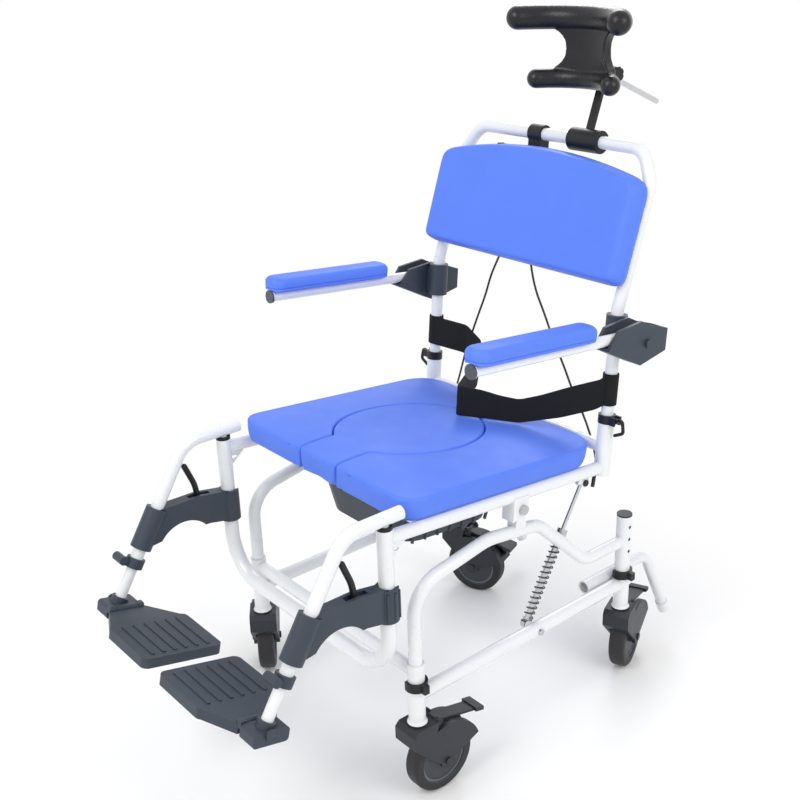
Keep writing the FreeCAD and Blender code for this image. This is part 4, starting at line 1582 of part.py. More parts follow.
def release_housing():
    """Clamp on the push bar with the lever's yoke, in the seat's axes."""
    low = RELEASE_X - RELEASE_WIDTH / 2
    clamp = rod(Vector(low, PUSH_BAR_Y, PUSH_BAR_Z), Vector(low + RELEASE_WIDTH, PUSH_BAR_Y, PUSH_BAR_Z),
                TUBE_OD + 2 * RELEASE_CLAMP_WALL)
    yoke = block(Vector(low, PUSH_BAR_Y - RELEASE_DEPTH / 2, PUSH_BAR_Z - RELEASE_DROP),
                 Vector(low + RELEASE_WIDTH, PUSH_BAR_Y + RELEASE_DEPTH / 2, PUSH_BAR_Z))
    half = RELEASE_LEVER_WIDTH / 2 + PEDAL_SIDE_GAP
    top = PUSH_BAR_Z - TUBE_OD / 2 - RELEASE_CLAMP_WALL / 2
    room = block(Vector(low - OVERRUN, PUSH_BAR_Y - half, PUSH_BAR_Z - RELEASE_DROP + RELEASE_CLAMP_WALL),
                 Vector(RELEASE_X + RELEASE_LEVER_THICK, PUSH_BAR_Y + half, top))
    bar = rod(Vector(2 * low, PUSH_BAR_Y, PUSH_BAR_Z), Vector(-low, PUSH_BAR_Y, PUSH_BAR_Z), SLEEVE_BORE)
    pin_z = PUSH_BAR_Z - RELEASE_LEVER_DROP
    pin = span(RELEASE_X, PUSH_BAR_Y, pin_z, Y_AXIS, RELEASE_DEPTH - WALL, RELEASE_PIN_D)
    return on_seat(welded([clamp, yoke.cut(room)], [bar]).fuse(pin))


def tilt_lever():
    """Hand lever that is squeezed up against the push bar, in the seat's axes."""
    pin_z = PUSH_BAR_Z - RELEASE_LEVER_DROP
    half = RELEASE_LEVER_WIDTH / 2
    eye = span(RELEASE_X, PUSH_BAR_Y, pin_z, Y_AXIS, RELEASE_LEVER_WIDTH, 2 * RELEASE_PIN_D)
    blade = block(Vector(RELEASE_X - RELEASE_LEVER_LENGTH, PUSH_BAR_Y - half, pin_z - RELEASE_LEVER_THICK / 2),
                  Vector(RELEASE_X, PUSH_BAR_Y + half, pin_z + RELEASE_LEVER_THICK / 2))
    tip = span(RELEASE_X - RELEASE_LEVER_LENGTH, PUSH_BAR_Y, pin_z, Y_AXIS, RELEASE_LEVER_WIDTH,
               1.5 * RELEASE_LEVER_THICK)
    hole = span(RELEASE_X, PUSH_BAR_Y, pin_z, Y_AXIS, 2 * RELEASE_LEVER_WIDTH, RELEASE_PIN_D + 2 * PIN_GAP)
    return on_seat(eye.fuse([blade, tip]).cut(hole))


def cable(points):
    """Outer cable along its route, with a ferrule on its lower end."""
    route = [Vector(*point) for point in points]
    radii = []
    for before, corner, after in zip(route, route[1:], route[2:]):
        turn = math.pi - (before - corner).getAngle(after - corner)
        shorter = min((before - corner).Length, (after - corner).Length)
        radii.append(CABLE_BEND_SHARE * shorter / math.tan(turn / 2))
    wire = path(points, radii)
    body = along_wire(wire, CABLE_D)
    print("cable: least bend radius", round(min(radii), 1), "length", round(wire.Length, 1),
          "volume over section times length", round(body.Volume / (math.pi * CABLE_D ** 2 / 4 * wire.Length), 4))
    end = route[-1]
    down = (end - route[-2]).normalize()
    return body.fuse(rod(end - down * (FERRULE_LENGTH / 2), end + down * (FERRULE_LENGTH / 2), FERRULE_D))


def save_wheelbase():
    """Everything that stays with the wheels."""
    base = wheelbase_side()
    save("wheelbase_left", base)
    save("wheelbase_right", mirrored(base))
    save("front_cross_tube", front_cross_tube())
    upper = upper_frame_side()
    save("upper_frame_left", upper)
    save("upper_frame_right", mirrored(upper))
    clips = both_sides(leg_clip(FRONT_Y)) + both_sides(leg_clip(REAR_Y))
    save("leg_fittings", clips + both_sides(post_plug()))
    save("frame_bolts", frame_bolts())
    tip = anti_tip_side()
    save("anti_tip_left", tip)
    save("anti_tip_right", [mirrored(piece) for piece in tip])


def save_casters():
    """Four braked casters at the yaws that the photograph shows."""
    fork = caster_fork()
    wheel = caster_wheel()
    pedal = brake_pedal()
    for corner in CASTER_PLACES:
        save("fork_" + corner, [on_post(piece, corner) for piece in fork])
        save("wheel_" + corner, on_post(wheel, corner))
        save("brake_" + corner, on_post(pedal, corner))


def save_pairs(name, pieces):
    """Writes a left node and its mirror image."""
    solids = pieces if isinstance(pieces, list) else [pieces]
    save(name + "_left", solids)
    save(name + "_right", [mirrored(solid) for solid in solids])


def save_seat():
    """Everything that tilts, apart from the legrests."""
    save_pairs("seat_rail", seat_rail_side())
    save("front_hoop", front_hoop())
    save("seat_cross_tubes", seat_cross_tubes())
    save("pan_runners", both_sides(pan_runner_side()))
    save("seat_fittings", seat_fittings())
    save("seat_cushion", seat_cushion())
    save("seat_insert", seat_insert())
    save("commode_pan", commode_pan())
    save("back_frame", back_frame())
    save("back_pad", back_pad())
    save("socket_collars", both_sides(socket_collar()))
    save_pairs("collar_lever", collar_lever())
    save("lap_belt", lap_belt())
    bracket = arm_bracket()
    save("armrest_brackets", bracket + [mirrored(piece) for piece in bracket])
    save_pairs("arm_tube", arm_tube())
    save_pairs("arm_pad", arm_pad())


def save_legrests():
    save_pairs("hanger", hanger())
    save_pairs("swing_arm", swing_arm())
    save_pairs("latch_lever", latch_lever())
    save_pairs("extension", extension())
    save_pairs("footplate", footplate())


def save_headrest():
    save("headrest_stem", [headrest_clamp(), headrest_stem()])
    save("headrest_knob", headrest_knob())
    save("headrest_bar", headrest_bar())
    save("headrest_pad", headrest_pad())


def save_tilt():
    """Struts, springs, cables and the release."""
    save("strut_cylinders", both_sides(strut_cylinder()))
    save("strut_rods", both_sides(strut_rod()))
    save("strut_springs", both_sides(strut_spring()))
    save("release_cables", [cable(LEFT_CABLE), cable(RIGHT_CABLE)])
    save("tilt_lever", tilt_lever())


os.makedirs("parts", exist_ok=True)
save_wheelbase()
save_casters()
save_seat()
save_legrests()
save_headrest()
save_tilt()
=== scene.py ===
import json
import math

import bmesh
import bpy
import numpy as np
from mathutils import Matrix, Vector


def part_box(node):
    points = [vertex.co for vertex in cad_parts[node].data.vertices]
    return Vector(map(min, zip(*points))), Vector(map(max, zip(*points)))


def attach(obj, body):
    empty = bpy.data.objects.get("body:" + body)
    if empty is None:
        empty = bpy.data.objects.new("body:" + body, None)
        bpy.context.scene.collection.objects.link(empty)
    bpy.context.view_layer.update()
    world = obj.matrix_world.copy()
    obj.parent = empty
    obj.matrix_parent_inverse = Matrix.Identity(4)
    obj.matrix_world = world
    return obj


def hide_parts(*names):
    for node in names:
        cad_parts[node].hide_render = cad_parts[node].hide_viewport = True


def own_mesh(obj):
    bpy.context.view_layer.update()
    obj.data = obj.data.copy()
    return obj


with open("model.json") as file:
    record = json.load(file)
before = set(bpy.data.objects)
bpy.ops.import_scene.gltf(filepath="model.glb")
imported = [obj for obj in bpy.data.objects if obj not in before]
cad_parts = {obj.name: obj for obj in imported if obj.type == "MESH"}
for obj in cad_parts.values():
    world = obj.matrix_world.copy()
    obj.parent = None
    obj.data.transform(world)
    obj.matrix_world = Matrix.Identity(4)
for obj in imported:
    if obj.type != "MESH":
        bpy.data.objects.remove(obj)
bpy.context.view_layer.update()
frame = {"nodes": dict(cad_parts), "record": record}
NODES = frame["nodes"]
MM = 0.001


# The seat's own axes, in mm from the tilt pivot: x across, y along the seat to the rear, z square to it

SEAT_ORIGIN = np.array([30.0, 31.0, 462.0])
SEAT_RAKE = math.radians(5.0)


def on_seat(points):
    """Points in the seat's axes, in mm, turned by the rake about the pivot and given in metres."""
    p = np.asarray(points, float)
    c, s = math.cos(SEAT_RAKE), math.sin(SEAT_RAKE)
    turned = np.stack([p[..., 0], p[..., 1] * c + p[..., 2] * s, p[..., 2] * c - p[..., 1] * s], -1)
    return (turned + SEAT_ORIGIN) * MM


# Shader maths

class Wire:
    """One output of a node. Sums, differences and products of wires add the Math nodes they need."""

    def __init__(self, finish, socket):
        self.finish = finish
        self.socket = socket

    def math(self, operation, other):
        return self.finish.node("ShaderNodeMath", {"operation": operation}, {0: self, 1: other})

    def __add__(self, other):
        return self.math("ADD", other)

    def __mul__(self, other):
        return self.math("MULTIPLY", other)

    def __sub__(self, other):
        return self.math("SUBTRACT", other)

    def __rsub__(self, other):
        return self * -1.0 + other

    def between(self, low, high):
        """0 below low, 1 above high and a straight run from one to the other."""
        return self.finish.node("ShaderNodeMapRange", {"clamp": True},
                                {"Value": self, "From Min": low, "From Max": high})

    __radd__ = __add__
    __rmul__ = __mul__


class Finish:
    """The node tree of one finish, with a Principled shader at its end."""

    def __init__(self, name, colour, roughness, **fixed):
        self.material = bpy.data.materials.new(name)
        self.material.use_nodes = True
        self.tree = self.material.node_tree
        self.shader = self.tree.nodes["Principled BSDF"]
        self.material.diffuse_color = (*colour, 1.0)
        self.set("Base Color", (*colour, 1.0))
        self.set("Roughness", roughness)
        for socket, value in fixed.items():
            self.set(socket.replace("_", " "), value)

    def join(self, socket, value):
        if isinstance(value, Wire):
            self.tree.links.new(value.socket, socket)
        else:
            socket.default_value = value

    def set(self, socket, value):
        self.join(self.shader.inputs[socket], value)

    def node(self, kind, settings, sockets, output=0):
        """A node of that kind: its settings first, then the values or wires of its sockets."""
        made = self.tree.nodes.new(kind)
        for name, value in settings.items():
            setattr(made, name, value)
        for name, value in sockets.items():
            self.join(made.inputs[name], value)
        return Wire(self, made.outputs[output])

    def place(self, stretch=(1.0, 1.0, 1.0), turn=(0.0, 0.0, 0.0)):
        """The point's own place in metres, stretched or turned."""
        here = self.node("ShaderNodeTexCoord", {}, {}, "Object")
        return self.node("ShaderNodeMapping", {}, {"Vector": here, "Scale": stretch, "Rotation": turn})

    def laid(self):
        """The place on the piece's own laid-out skin, in metres along and across."""
        return self.node("ShaderNodeUVMap", {"uv_map": "laid"}, {})

    def noise(self, where, scale, detail=2.0, rough=0.5, bend=0.0):
        return self.node("ShaderNodeTexNoise", {}, {"Vector": where, "Scale": scale, "Detail": detail,
                                                    "Roughness": rough, "Distortion": bend})

    def grain(self, where, scale, width):
        """Cells of leather grain: 0 in the creases, 1 from that distance inwards."""
        cells = self.node("ShaderNodeTexVoronoi", {"feature": "DISTANCE_TO_EDGE"},
                          {"Vector": where, "Scale": scale})
        return cells.between(0.0, width)

    def blend(self, share, first, second):
        """First colour where share is 0, second where it is 1."""
        made = self.tree.nodes.new("ShaderNodeMix")
        made.data_type = "RGBA"
        for socket, value in ((made.inputs[0], share), (made.inputs[6], first), (made.inputs[7], second)):
            if isinstance(value, tuple):
                value = (*value, 1.0)
            self.join(socket, value)
        return Wire(self, made.outputs[2])

    def tint(self, *steps):
        """Base colour from one colour and (share, colour) steps laid over it in turn."""
        shown = steps[0]
        for share, colour in steps[1:]:
            shown = self.blend(share, shown, colour)
        self.set("Base Color", shown)
        return self

    def relief(self, height, depth, strength=1.0):
        """Bump of that height, in metres for a height of 1."""
        self.set("Normal", self.node("ShaderNodeBump", {}, {"Height": height, "Distance": depth,
                                                            "Strength": strength}))
        return self


def shade(colour, share):
    """A colour made darker or lighter by a share."""
    return tuple(min(1.0, part * share) for part in colour)


# Finishes

WHITE = (0.80, 0.815, 0.83)
BLUE = (0.108, 0.225, 0.86)
SLATE = (0.040, 0.052, 0.072)
BLACK = (0.009, 0.009, 0.011)
CASTER_GREY = (0.022, 0.026, 0.034)
RUBBER = (0.010, 0.010, 0.012)
HUB_GREY = (0.030, 0.036, 0.046)
RIM_GREY = (0.16, 0.175, 0.20)
STEEL = (0.56, 0.57, 0.58)
ROD_STEEL = (0.66, 0.67, 0.69)
SPRING_DARK = (0.10, 0.10, 0.11)
TYRE_DUST = (0.04, 0.04, 0.042)
WEB_BLACK = (0.009, 0.009, 0.010)
WEB_THREAD = (0.020, 0.020, 0.023)
WEB_LINT = (0.035, 0.035, 0.038)


def powder_coat():
    """White gloss powder coat: faint orange peel, cloudy and rubbed places a little darker."""
    f = Finish("white_powder_coat", WHITE, 0.28, Coat_Weight=0.35, Coat_Roughness=0.12)
    here = f.place()
    peel = f.noise(here, 900.0, 2.0)
    cloud = f.noise(here, 9.0, 3.0)
    rub = f.noise(here, 60.0, 4.0, 0.6).between(0.62, 0.78)
    f.tint(WHITE, (cloud.between(0.35, 0.75) * 0.35, shade(WHITE, 0.93)), (rub * 0.25, shade(WHITE, 0.86)))
    f.set("Roughness", cloud * 0.10 + rub * 0.12 + 0.22)
    return f.relief(peel, 0.00006, 0.5).material


def moulded_skin():
    """Blue self-skinned foam: fine leather grain and lighter patches of painted sheen, which are also a little
    glossier.
    """
    f = Finish("blue_moulded_skin", BLUE, 0.48, Specular_IOR_Level=0.22)
    here = f.place()
    grain = f.grain(here, 620.0, 0.35)
    pores = f.noise(here, 1500.0, 3.0, 0.6)
    cloud = f.noise(here, 7.0, 4.0, 0.55)
    # Painted sheen: noise patches whose blue is made lighter stand in for soft reflection; the same patches are
    # made less rough.
    painted_sheen_patch = f.noise(here, 26.0, 3.0).between(0.45, 0.75)
    f.tint(BLUE, (cloud.between(0.3, 0.75) * 0.45, shade(BLUE, 0.88)), (painted_sheen_patch * 0.2, shade(BLUE, 1.10)),
           ((1.0 - grain) * 0.16, shade(BLUE, 0.70)))
    f.set("Roughness", painted_sheen_patch * -0.08 + cloud * 0.10 + 0.44)
    return f.relief(grain * 0.7 + pores * 0.3, 0.00012, 0.45).material


def moulded_plastic(name, colour, roughness, worn=0.3):
    """Spark-grained moulded plastic with paler rubbed places."""
    f = Finish(name, colour, roughness, Specular_IOR_Level=0.35)
    here = f.place()
    pits = f.noise(here, 1400.0, 3.0, 0.65)
    cloud = f.noise(here, 18.0, 4.0, 0.6)
    scuff = f.noise(f.place((1.0, 3.0, 1.0), (0.3, 0.2, 0.7)), 110.0, 5.0, 0.7).between(0.60, 0.74)
    f.tint(colour, (cloud.between(0.35, 0.7) * 0.4, shade(colour, 0.8)), (scuff * worn, shade(colour, 1.6)))
    f.set("Roughness", cloud * 0.14 + scuff * 0.10 + (roughness - 0.08))
    return f.relief(pits, 0.0001, 0.5).material


def off_axis(f, here, centre, axis):
    """Distance of a place from the line through the centre along the axis."""
    off = f.node("ShaderNodeVectorMath", {"operation": "SUBTRACT"}, {0: here, 1: tuple(centre)})
    turned = f.node("ShaderNodeVectorMath", {"operation": "CROSS_PRODUCT"}, {0: off, 1: tuple(axis)})
    return f.node("ShaderNodeVectorMath", {"operation": "LENGTH"}, {0: turned}, "Value")


TUBE_SKIN = (0.00933, 0.00938)      # just outside the tube's radius and just inside the bracket's bore
TUBE_POINT = (-0.3919, 0.4313)      # y and z of a point on the tube's axis


def extension_finish(name, x, axis):
    """Slate plastic foot bracket on a white tube, told apart by the distance from the tube's axis."""
    f = Finish(name, SLATE, 0.42, Specular_IOR_Level=0.35)
    here = f.place()
    tube = 1.0 - off_axis(f, here, (x, *TUBE_POINT), axis).between(*TUBE_SKIN)
    cloud = f.noise(here, 18.0, 4.0, 0.6)
    pits = f.noise(here, 1400.0, 3.0, 0.65)
    f.tint(SLATE, (cloud.between(0.35, 0.7) * 0.4, shade(SLATE, 0.8)), (tube, WHITE))
    f.set("Roughness", cloud * 0.14 + 0.38 - tube * 0.12)
    return f.relief(pits, 0.0001, 0.4).material


CAP_LENGTH = 0.0045
CAP_SEAM = 0.0002


def capped_coat(name, front):
    """White coated arm tube whose front plug is slate plastic."""
    f = Finish(name, WHITE, 0.28, Coat_Weight=0.35, Coat_Roughness=0.12)
    here = f.place()
    rear = front + CAP_LENGTH
    cap = 1.0 - f.node("ShaderNodeSeparateXYZ", {}, {"Vector": here}, "Y").between(rear, rear + CAP_SEAM)
    cloud = f.noise(here, 9.0, 3.0)
    f.tint(WHITE, (cloud.between(0.35, 0.75) * 0.35, shade(WHITE, 0.93)), (cap, SLATE))
    f.set("Roughness", cloud * 0.10 + cap * 0.14 + 0.22)
    return f.relief(f.noise(here, 900.0, 2.0), 0.00006, 0.5).material


TYRE_INNER = 0.046        # radius of the wheel's dished face
TYRE_STEP = 0.0006        # half the width of the change from hub to tyre
RIM_BAND = (0.0042, 0.0030)    # the rim line's inner and outer edge, in from the tyre


def wheel_finish(name, centre, axle):
    """Black tyre, a paler rim line and a dark grey hub, told apart by the distance from the axle."""
    f = Finish(name, RUBBER, 0.62)
    here = f.place()
    radius = off_axis(f, here, centre, axle)
    hub = 1.0 - radius.between(TYRE_INNER - TYRE_STEP, TYRE_INNER + TYRE_STEP)
    rim = hub * radius.between(*(TYRE_INNER - edge for edge in RIM_BAND))
    dust = f.noise(here, 75.0, 5.0, 0.65).between(0.42, 0.72)
    fine = f.noise(here, 1100.0, 3.0)
    f.tint(RUBBER, (dust * 0.3, TYRE_DUST), (hub, HUB_GREY), (rim, RIM_GREY))
    f.set("Roughness", dust * 0.16 + 0.52 - hub * 0.14)
    return f.relief(fine * 0.6 + dust * 0.4, 0.0002, 0.5).material


def plated(name, colour, roughness, streak):
    """Plated steel with fine drawing marks."""
    f = Finish(name, colour, roughness, Metallic=1.0)
    marks = f.noise(f.place(streak), 60.0, 4.0, 0.6)
    stain = f.noise(f.place(), 40.0, 4.0, 0.6).between(0.5, 0.8)
    f.tint(colour, (marks.between(0.35, 0.7) * 0.3, shade(colour, 0.75)), (stain * 0.3, shade(colour, 0.55)))
    f.set("Roughness", marks * 0.12 + stain * 0.15 + (roughness - 0.06))
    return f.relief(marks, 0.00005, 0.3).material


def headrest_skin():
    """Black glossy integral skin with soft creases."""
    f = Finish("headrest_skin", BLACK, 0.28, Specular_IOR_Level=0.35)
    here = f.place()
    grain = f.grain(here, 480.0, 0.3)
    fold = f.noise(here, 30.0, 4.0, 0.55, 0.6)
    f.tint(BLACK, (fold.between(0.45, 0.75) * 0.5, shade(BLACK, 2.0)))
    f.set("Roughness", fold * 0.2 + 0.16)
    return f.relief(grain * 0.25 + fold * 0.75, 0.0009, 0.4).material


def strap_weave():
    """Black belt webbing: ribs across and warp threads along."""
    f = Finish("belt_webbing", WEB_BLACK, 0.78, Specular_IOR_Level=0.2)
    along = f.laid()
    ribs = f.node("ShaderNodeTexWave", {"wave_type": "BANDS", "bands_direction": "X"},
                  {"Vector": along, "Scale": 160.0, "Distortion": 0.6, "Detail": 1.0, "Detail Scale": 2.0})
    warp = f.node("ShaderNodeTexWave", {"wave_type": "BANDS", "bands_direction": "Y"},
                  {"Vector": along, "Scale": 220.0, "Distortion": 0.3})
    lint = f.noise(along, 700.0, 4.0, 0.7)
    f.tint(WEB_BLACK, (ribs * warp * 0.4, WEB_THREAD), (lint.between(0.6, 0.8) * 0.2, WEB_LINT))
    f.set("Roughness", lint * 0.15 + 0.62)
    return f.relief(ribs * 0.6 + warp * 0.4, 0.0005, 0.8).material


def sheath():
    """Black plastic cable sheath, paler where it is worn."""
    f = Finish("cable_sheath", BLACK, 0.4)
    wear = f.noise(f.place(), 300.0, 4.0)
    f.tint(BLACK, (wear.between(0.5, 0.8) * 0.5, shade(BLACK, 2.6)))
    f.set("Roughness", wear * 0.2 + 0.3)
    return f.relief(wear, 0.0001, 0.4).material


SKIN = moulded_skin()
COAT = powder_coat()
ARM_PLASTIC = moulded_plastic("slate_plastic", SLATE, 0.46)
TRIM_PLASTIC = moulded_plastic("black_plastic", BLACK, 0.42, worn=0.5)
CASTER_PLASTIC = moulded_plastic("caster_plastic", CASTER_GREY, 0.44)
PAN_PLASTIC = moulded_plastic("pan_plastic", SLATE, 0.40)
PLATED = plated("plated_steel", STEEL, 0.24, (1.0, 1.0, 14.0))
DRAWN_ROD = plated("drawn_rod", ROD_STEEL, 0.16, (2.0, 14.0, 2.0))
SPRING = plated("dark_spring", SPRING_DARK, 0.38, (6.0, 6.0, 6.0))
HEAD_SKIN = headrest_skin()
WEBBING = strap_weave()
SHEATH = sheath()

JOINTS = {joint["name"]: joint for joint in frame["record"]["behaviour"]["joints"]}
NODE_FINISH = {
    "leg_fittings": TRIM_PLASTIC, "frame_bolts": PLATED, "seat_fittings": TRIM_PLASTIC,
    "socket_collars": TRIM_PLASTIC, "armrest_brackets": ARM_PLASTIC, "release_cables": SHEATH,
    "strut_cylinders": PLATED, "strut_springs": SPRING, "strut_rods": DRAWN_ROD,
    "seat_cushion": SKIN, "seat_insert": SKIN, "back_pad": SKIN, "lap_belt": WEBBING,
    "commode_pan": PAN_PLASTIC, "headrest_stem": TRIM_PLASTIC, "headrest_knob": TRIM_PLASTIC,
    "headrest_bar": DRAWN_ROD, "headrest_pad": HEAD_SKIN, "tilt_lever": TRIM_PLASTIC,
}
for side in ("left", "right"):
    NODE_FINISH["collar_lever_" + side] = TRIM_PLASTIC
    NODE_FINISH["arm_pad_" + side] = SKIN
    NODE_FINISH["swing_arm_" + side] = ARM_PLASTIC
    NODE_FINISH["latch_lever_" + side] = TRIM_PLASTIC
    swing, slide = JOINTS["legrest_swing_" + side], JOINTS["extension_" + side]
    NODE_FINISH["extension_" + side] = extension_finish("extension_finish_" + side, swing["pos_m"][0],
                                                        slide["axis"])
    arm_front = float(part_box("arm_tube_" + side)[0][1])
    NODE_FINISH["arm_tube_" + side] = capped_coat("arm_tube_finish_" + side, arm_front)
    NODE_FINISH["footplate_" + side] = ARM_PLASTIC
    for end in ("front", "rear"):
        NODE_FINISH["fork_%s_%s" % (end, side)] = CASTER_PLASTIC
        wheel = "wheel_%s_%s" % (end, side)
        spin = JOINTS["spin_%s_%s" % (end, side)]
        NODE_FINISH[wheel] = wheel_finish(wheel + "_finish", spin["pos_m"], spin["axis"])
        NODE_FINISH["brake_%s_%s" % (end, side)] = CASTER_PLASTIC
for name, node in NODES.items():
    node.data.materials.clear()
    node.data.materials.append(NODE_FINISH.get(name, COAT))


# Skins worked out on grids

def run_along(points, count, closed=False):
    """Points set evenly along a line: its length is added up and each place is read off it."""
    line = np.asarray(points, float)
    if closed:
        line = np.vstack([line, line[:1]])
    gone = np.concatenate([[0.0], np.cumsum(np.linalg.norm(np.diff(line, axis=0), axis=1))])
    at = np.linspace(0.0, gone[-1], count, endpoint=not closed)
    return np.stack([np.interp(at, gone, line[:, k]) for k in range(line.shape[1])], 1)


def softened(line, reach, closed=False):
    """Each point moved to the weighted mean of its neighbours, which rounds the corners of the line."""
    weight = np.hanning(2 * reach + 3)[1:-1]
    weight /= weight.sum()
    if closed:
        longer = np.vstack([line[-reach:], line, line[:reach]])
    else:
        longer = np.vstack([2 * line[:1] - line[reach:0:-1], line, 2 * line[-1:] - line[-2:-reach - 2:-1]])
    return np.stack([np.convolve(longer[:, k], weight, "valid") for k in range(line.shape[1])], 1)


def round_cornered(corners, radii, steps=16):
    """Outline of a polygon with arcs at its corners: each radius turns from one touch to the other."""
    corners = np.asarray(corners, float)
    runs = []
    for here, before, after, radius in zip(corners, np.roll(corners, 1, 0), np.roll(corners, -1, 0), radii):
        back = (before - here) / np.linalg.norm(before - here)
        on = (after - here) / np.linalg.norm(after - here)
        half = math.acos(float(back @ on)) / 2
        centre = here + (back + on) / np.linalg.norm(back + on) * radius / math.sin(half)
        first = here + back * radius / math.tan(half) - centre
        last = here + on * radius / math.tan(half) - centre
        angle = math.pi - 2 * half
        share = np.linspace(0.0, 1.0, steps)[:, None]
        swept = np.sin((1 - share) * angle) * first + np.sin(share * angle) * last
        runs.append(centre + swept / math.sin(angle))
    return np.vstack(runs)


def off_edge(plan, outline):
    """Distance of each plan point from the nearest point of the outline, read off 1 mm steps."""
    flat = plan.reshape(-1, 2)
    ring = run_along(outline, int(np.linalg.norm(np.diff(outline, axis=0), axis=1).sum()), closed=True)
    near = np.concatenate([np.sqrt(((part[:, None] - ring[None]) ** 2).sum(2)).min(1)
                           for part in np.array_split(flat, max(1, len(flat) // 2000))])
    return near.reshape(plan.shape[:-1])


def rounding(gap, radius):
    """How far a rounded edge has dropped at that distance from the side: a quarter circle."""
    inside = np.clip(radius - gap, 0.0, radius)
    return radius - np.sqrt(np.maximum(radius ** 2 - inside ** 2, 0.0))


def eased(value, low, high):
    """0 below low, 1 above high, and half a cosine wave between."""
    return 0.5 - 0.5 * np.cos(np.pi * np.clip((value - low) / (high - low), 0.0, 1.0))


MERGE_GAP = 2e-5
THIN_EDGE = 1e-6


def linked(name, mesh):
    """New object of that mesh in the scene."""
    made = bpy.data.objects.new(name, mesh)
    bpy.context.scene.collection.objects.link(made)
    return made


def skin(name, grid, finish, body, closed_u=True, closed_v=False, laid=None):
    """Mesh of a grid of points, rows u and columns v. Doubled points are merged, faces turned outwards."""
    rows, columns = grid.shape[:2]
    mesh = bpy.data.meshes.new(name)
    a, b = np.meshgrid(np.arange(rows if closed_u else rows - 1),
                       np.arange(columns if closed_v else columns - 1), indexing="ij")
    an, bn = (a + 1) % rows, (b + 1) % columns
    faces = np.stack([a * columns + b, an * columns + b, an * columns + bn, a * columns + bn], -1)
    faces = faces.reshape(-1, 4)
    mesh.from_pydata(grid.reshape(-1, 3).tolist(), [], faces.tolist())
    if laid is not None:
        along, across = laid
        spread = np.stack([along[a], across[b], along[a + 1], across[b], along[a + 1], across[b + 1],
                           along[a], across[b + 1]], -1).reshape(-1)
        mesh.uv_layers.new(name="laid").data.foreach_set("uv", spread.astype(np.float32))
    work = bmesh.new()
    work.from_mesh(mesh)
    bmesh.ops.remove_doubles(work, verts=work.verts, dist=MERGE_GAP)
    bmesh.ops.dissolve_degenerate(work, edges=work.edges, dist=THIN_EDGE)
    bmesh.ops.recalc_face_normals(work, faces=work.faces)
    for face in work.faces:
        face.smooth = True
    work.to_mesh(mesh)
    work.free()
    made = linked(name, mesh)
    mesh.materials.append(finish)
    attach(made, body)
    return made


FLIP = np.array([-1.0, 1.0])


def mirrored_loop(right):
    """Closed loop from its right half, which starts and ends on the middle line."""
    return np.vstack([right, right[-2:0:-1] * FLIP])


# Seat cushion and lift-out insert, in the seat's axes

SEAT_HALF, SEAT_FRONT, SEAT_REAR = 232.0, -244.0, 197.0
SEAT_FOOT, SEAT_EDGE = 33.4, 71.5
SEAT_CROWN, SITTER_HOLLOW = 9.0, 2.4
HOLLOW_ACROSS, HOLLOW_ALONG, HOLLOW_Y = 120.0, 130.0, 20.0
CORNER_FRONT, CORNER_REAR = 34.0, 62.0
NECK_HALF, BOWL_ACROSS, BOWL_ALONG, BOWL_Y = 48.0, 116.0, 141.0, -44.0
KEYHOLE_GAP = 2.5
OUTER_EDGE, INNER_EDGE = 5.5, 4.0
TUCK_HEIGHTS = np.array([33.4, 33.9, 35.5, 40.0, 47.0, 55.0, 62.0])
TUCKS = np.array([8.2, 6.6, 5.2, 3.2, 1.3, 0.3, 0.0])
TOP_SHARES = np.linspace(0.0, 1.0, 26) ** 1.9


def seat_top(plan):
    """Height of the seat's top: an edge height plus a flat crown, less a shallow hollow for the sitter."""
    x = plan[..., 0] / SEAT_HALF
    y = (plan[..., 1] - (SEAT_FRONT + SEAT_REAR) / 2) / ((SEAT_REAR - SEAT_FRONT) / 2)
    crown = (1 - np.abs(x) ** 4.0) * (1 - np.abs(y) ** 5.0)
    across, along = plan[..., 0] / HOLLOW_ACROSS, (plan[..., 1] - HOLLOW_Y) / HOLLOW_ALONG
    hollow = np.exp(-(across ** 2 + along ** 2))
    return SEAT_EDGE + SEAT_CROWN * np.clip(crown, 0.0, 1.0) - SITTER_HOLLOW * hollow


def keyhole(gap):
    """Right half of the keyhole outline, from its front corner along the neck and round the oval bowl."""
    neck, across, along = NECK_HALF + gap, BOWL_ACROSS + gap, BOWL_ALONG + gap
    turn = np.linspace(math.asin(neck / across), math.pi, 160)
    bowl = np.stack([across * np.sin(turn), BOWL_Y - along * np.cos(turn)], 1)
    bowl[-1, 0] = 0.0
    foot = np.linspace([neck, SEAT_FRONT], [neck, bowl[0, 1]], 40, endpoint=False)
    return np.vstack([foot, bowl])


def pad_block(loop, spine, side_tuck, edge):
    """Grid of a padded block. Each row goes from the spine over the foot to the outline, up its side, which draws
    in by the tuck below the widest line, and over a rounded edge along the top back to the spine."""
    ring = softened(loop, 4, closed=True)
    inward = spine - ring
    length = np.maximum(np.linalg.norm(inward, axis=1, keepdims=True), 1e-6)
    inward = inward / length
    side = ring[:, None] + inward[:, None] * (TUCKS[None, :, None] * side_tuck[:, None, None])
    heights = np.broadcast_to(TUCK_HEIGHTS, side.shape[:2])
    shares = TOP_SHARES[None, :, None]
    top = ring[:, None] * (1 - shares) + spine[:, None] * shares
    gap = off_edge(top, ring)
    radius = np.broadcast_to(edge[:, None], gap.shape)
    over = seat_top(top) - rounding(gap, radius)
    foot = np.concatenate([spine, np.full((len(spine), 1), SEAT_FOOT)], 1)[:, None]
    return np.concatenate([foot, np.concatenate([side, heights[..., None]], 2),
                           np.concatenate([top, over[..., None]], 2)], 1)


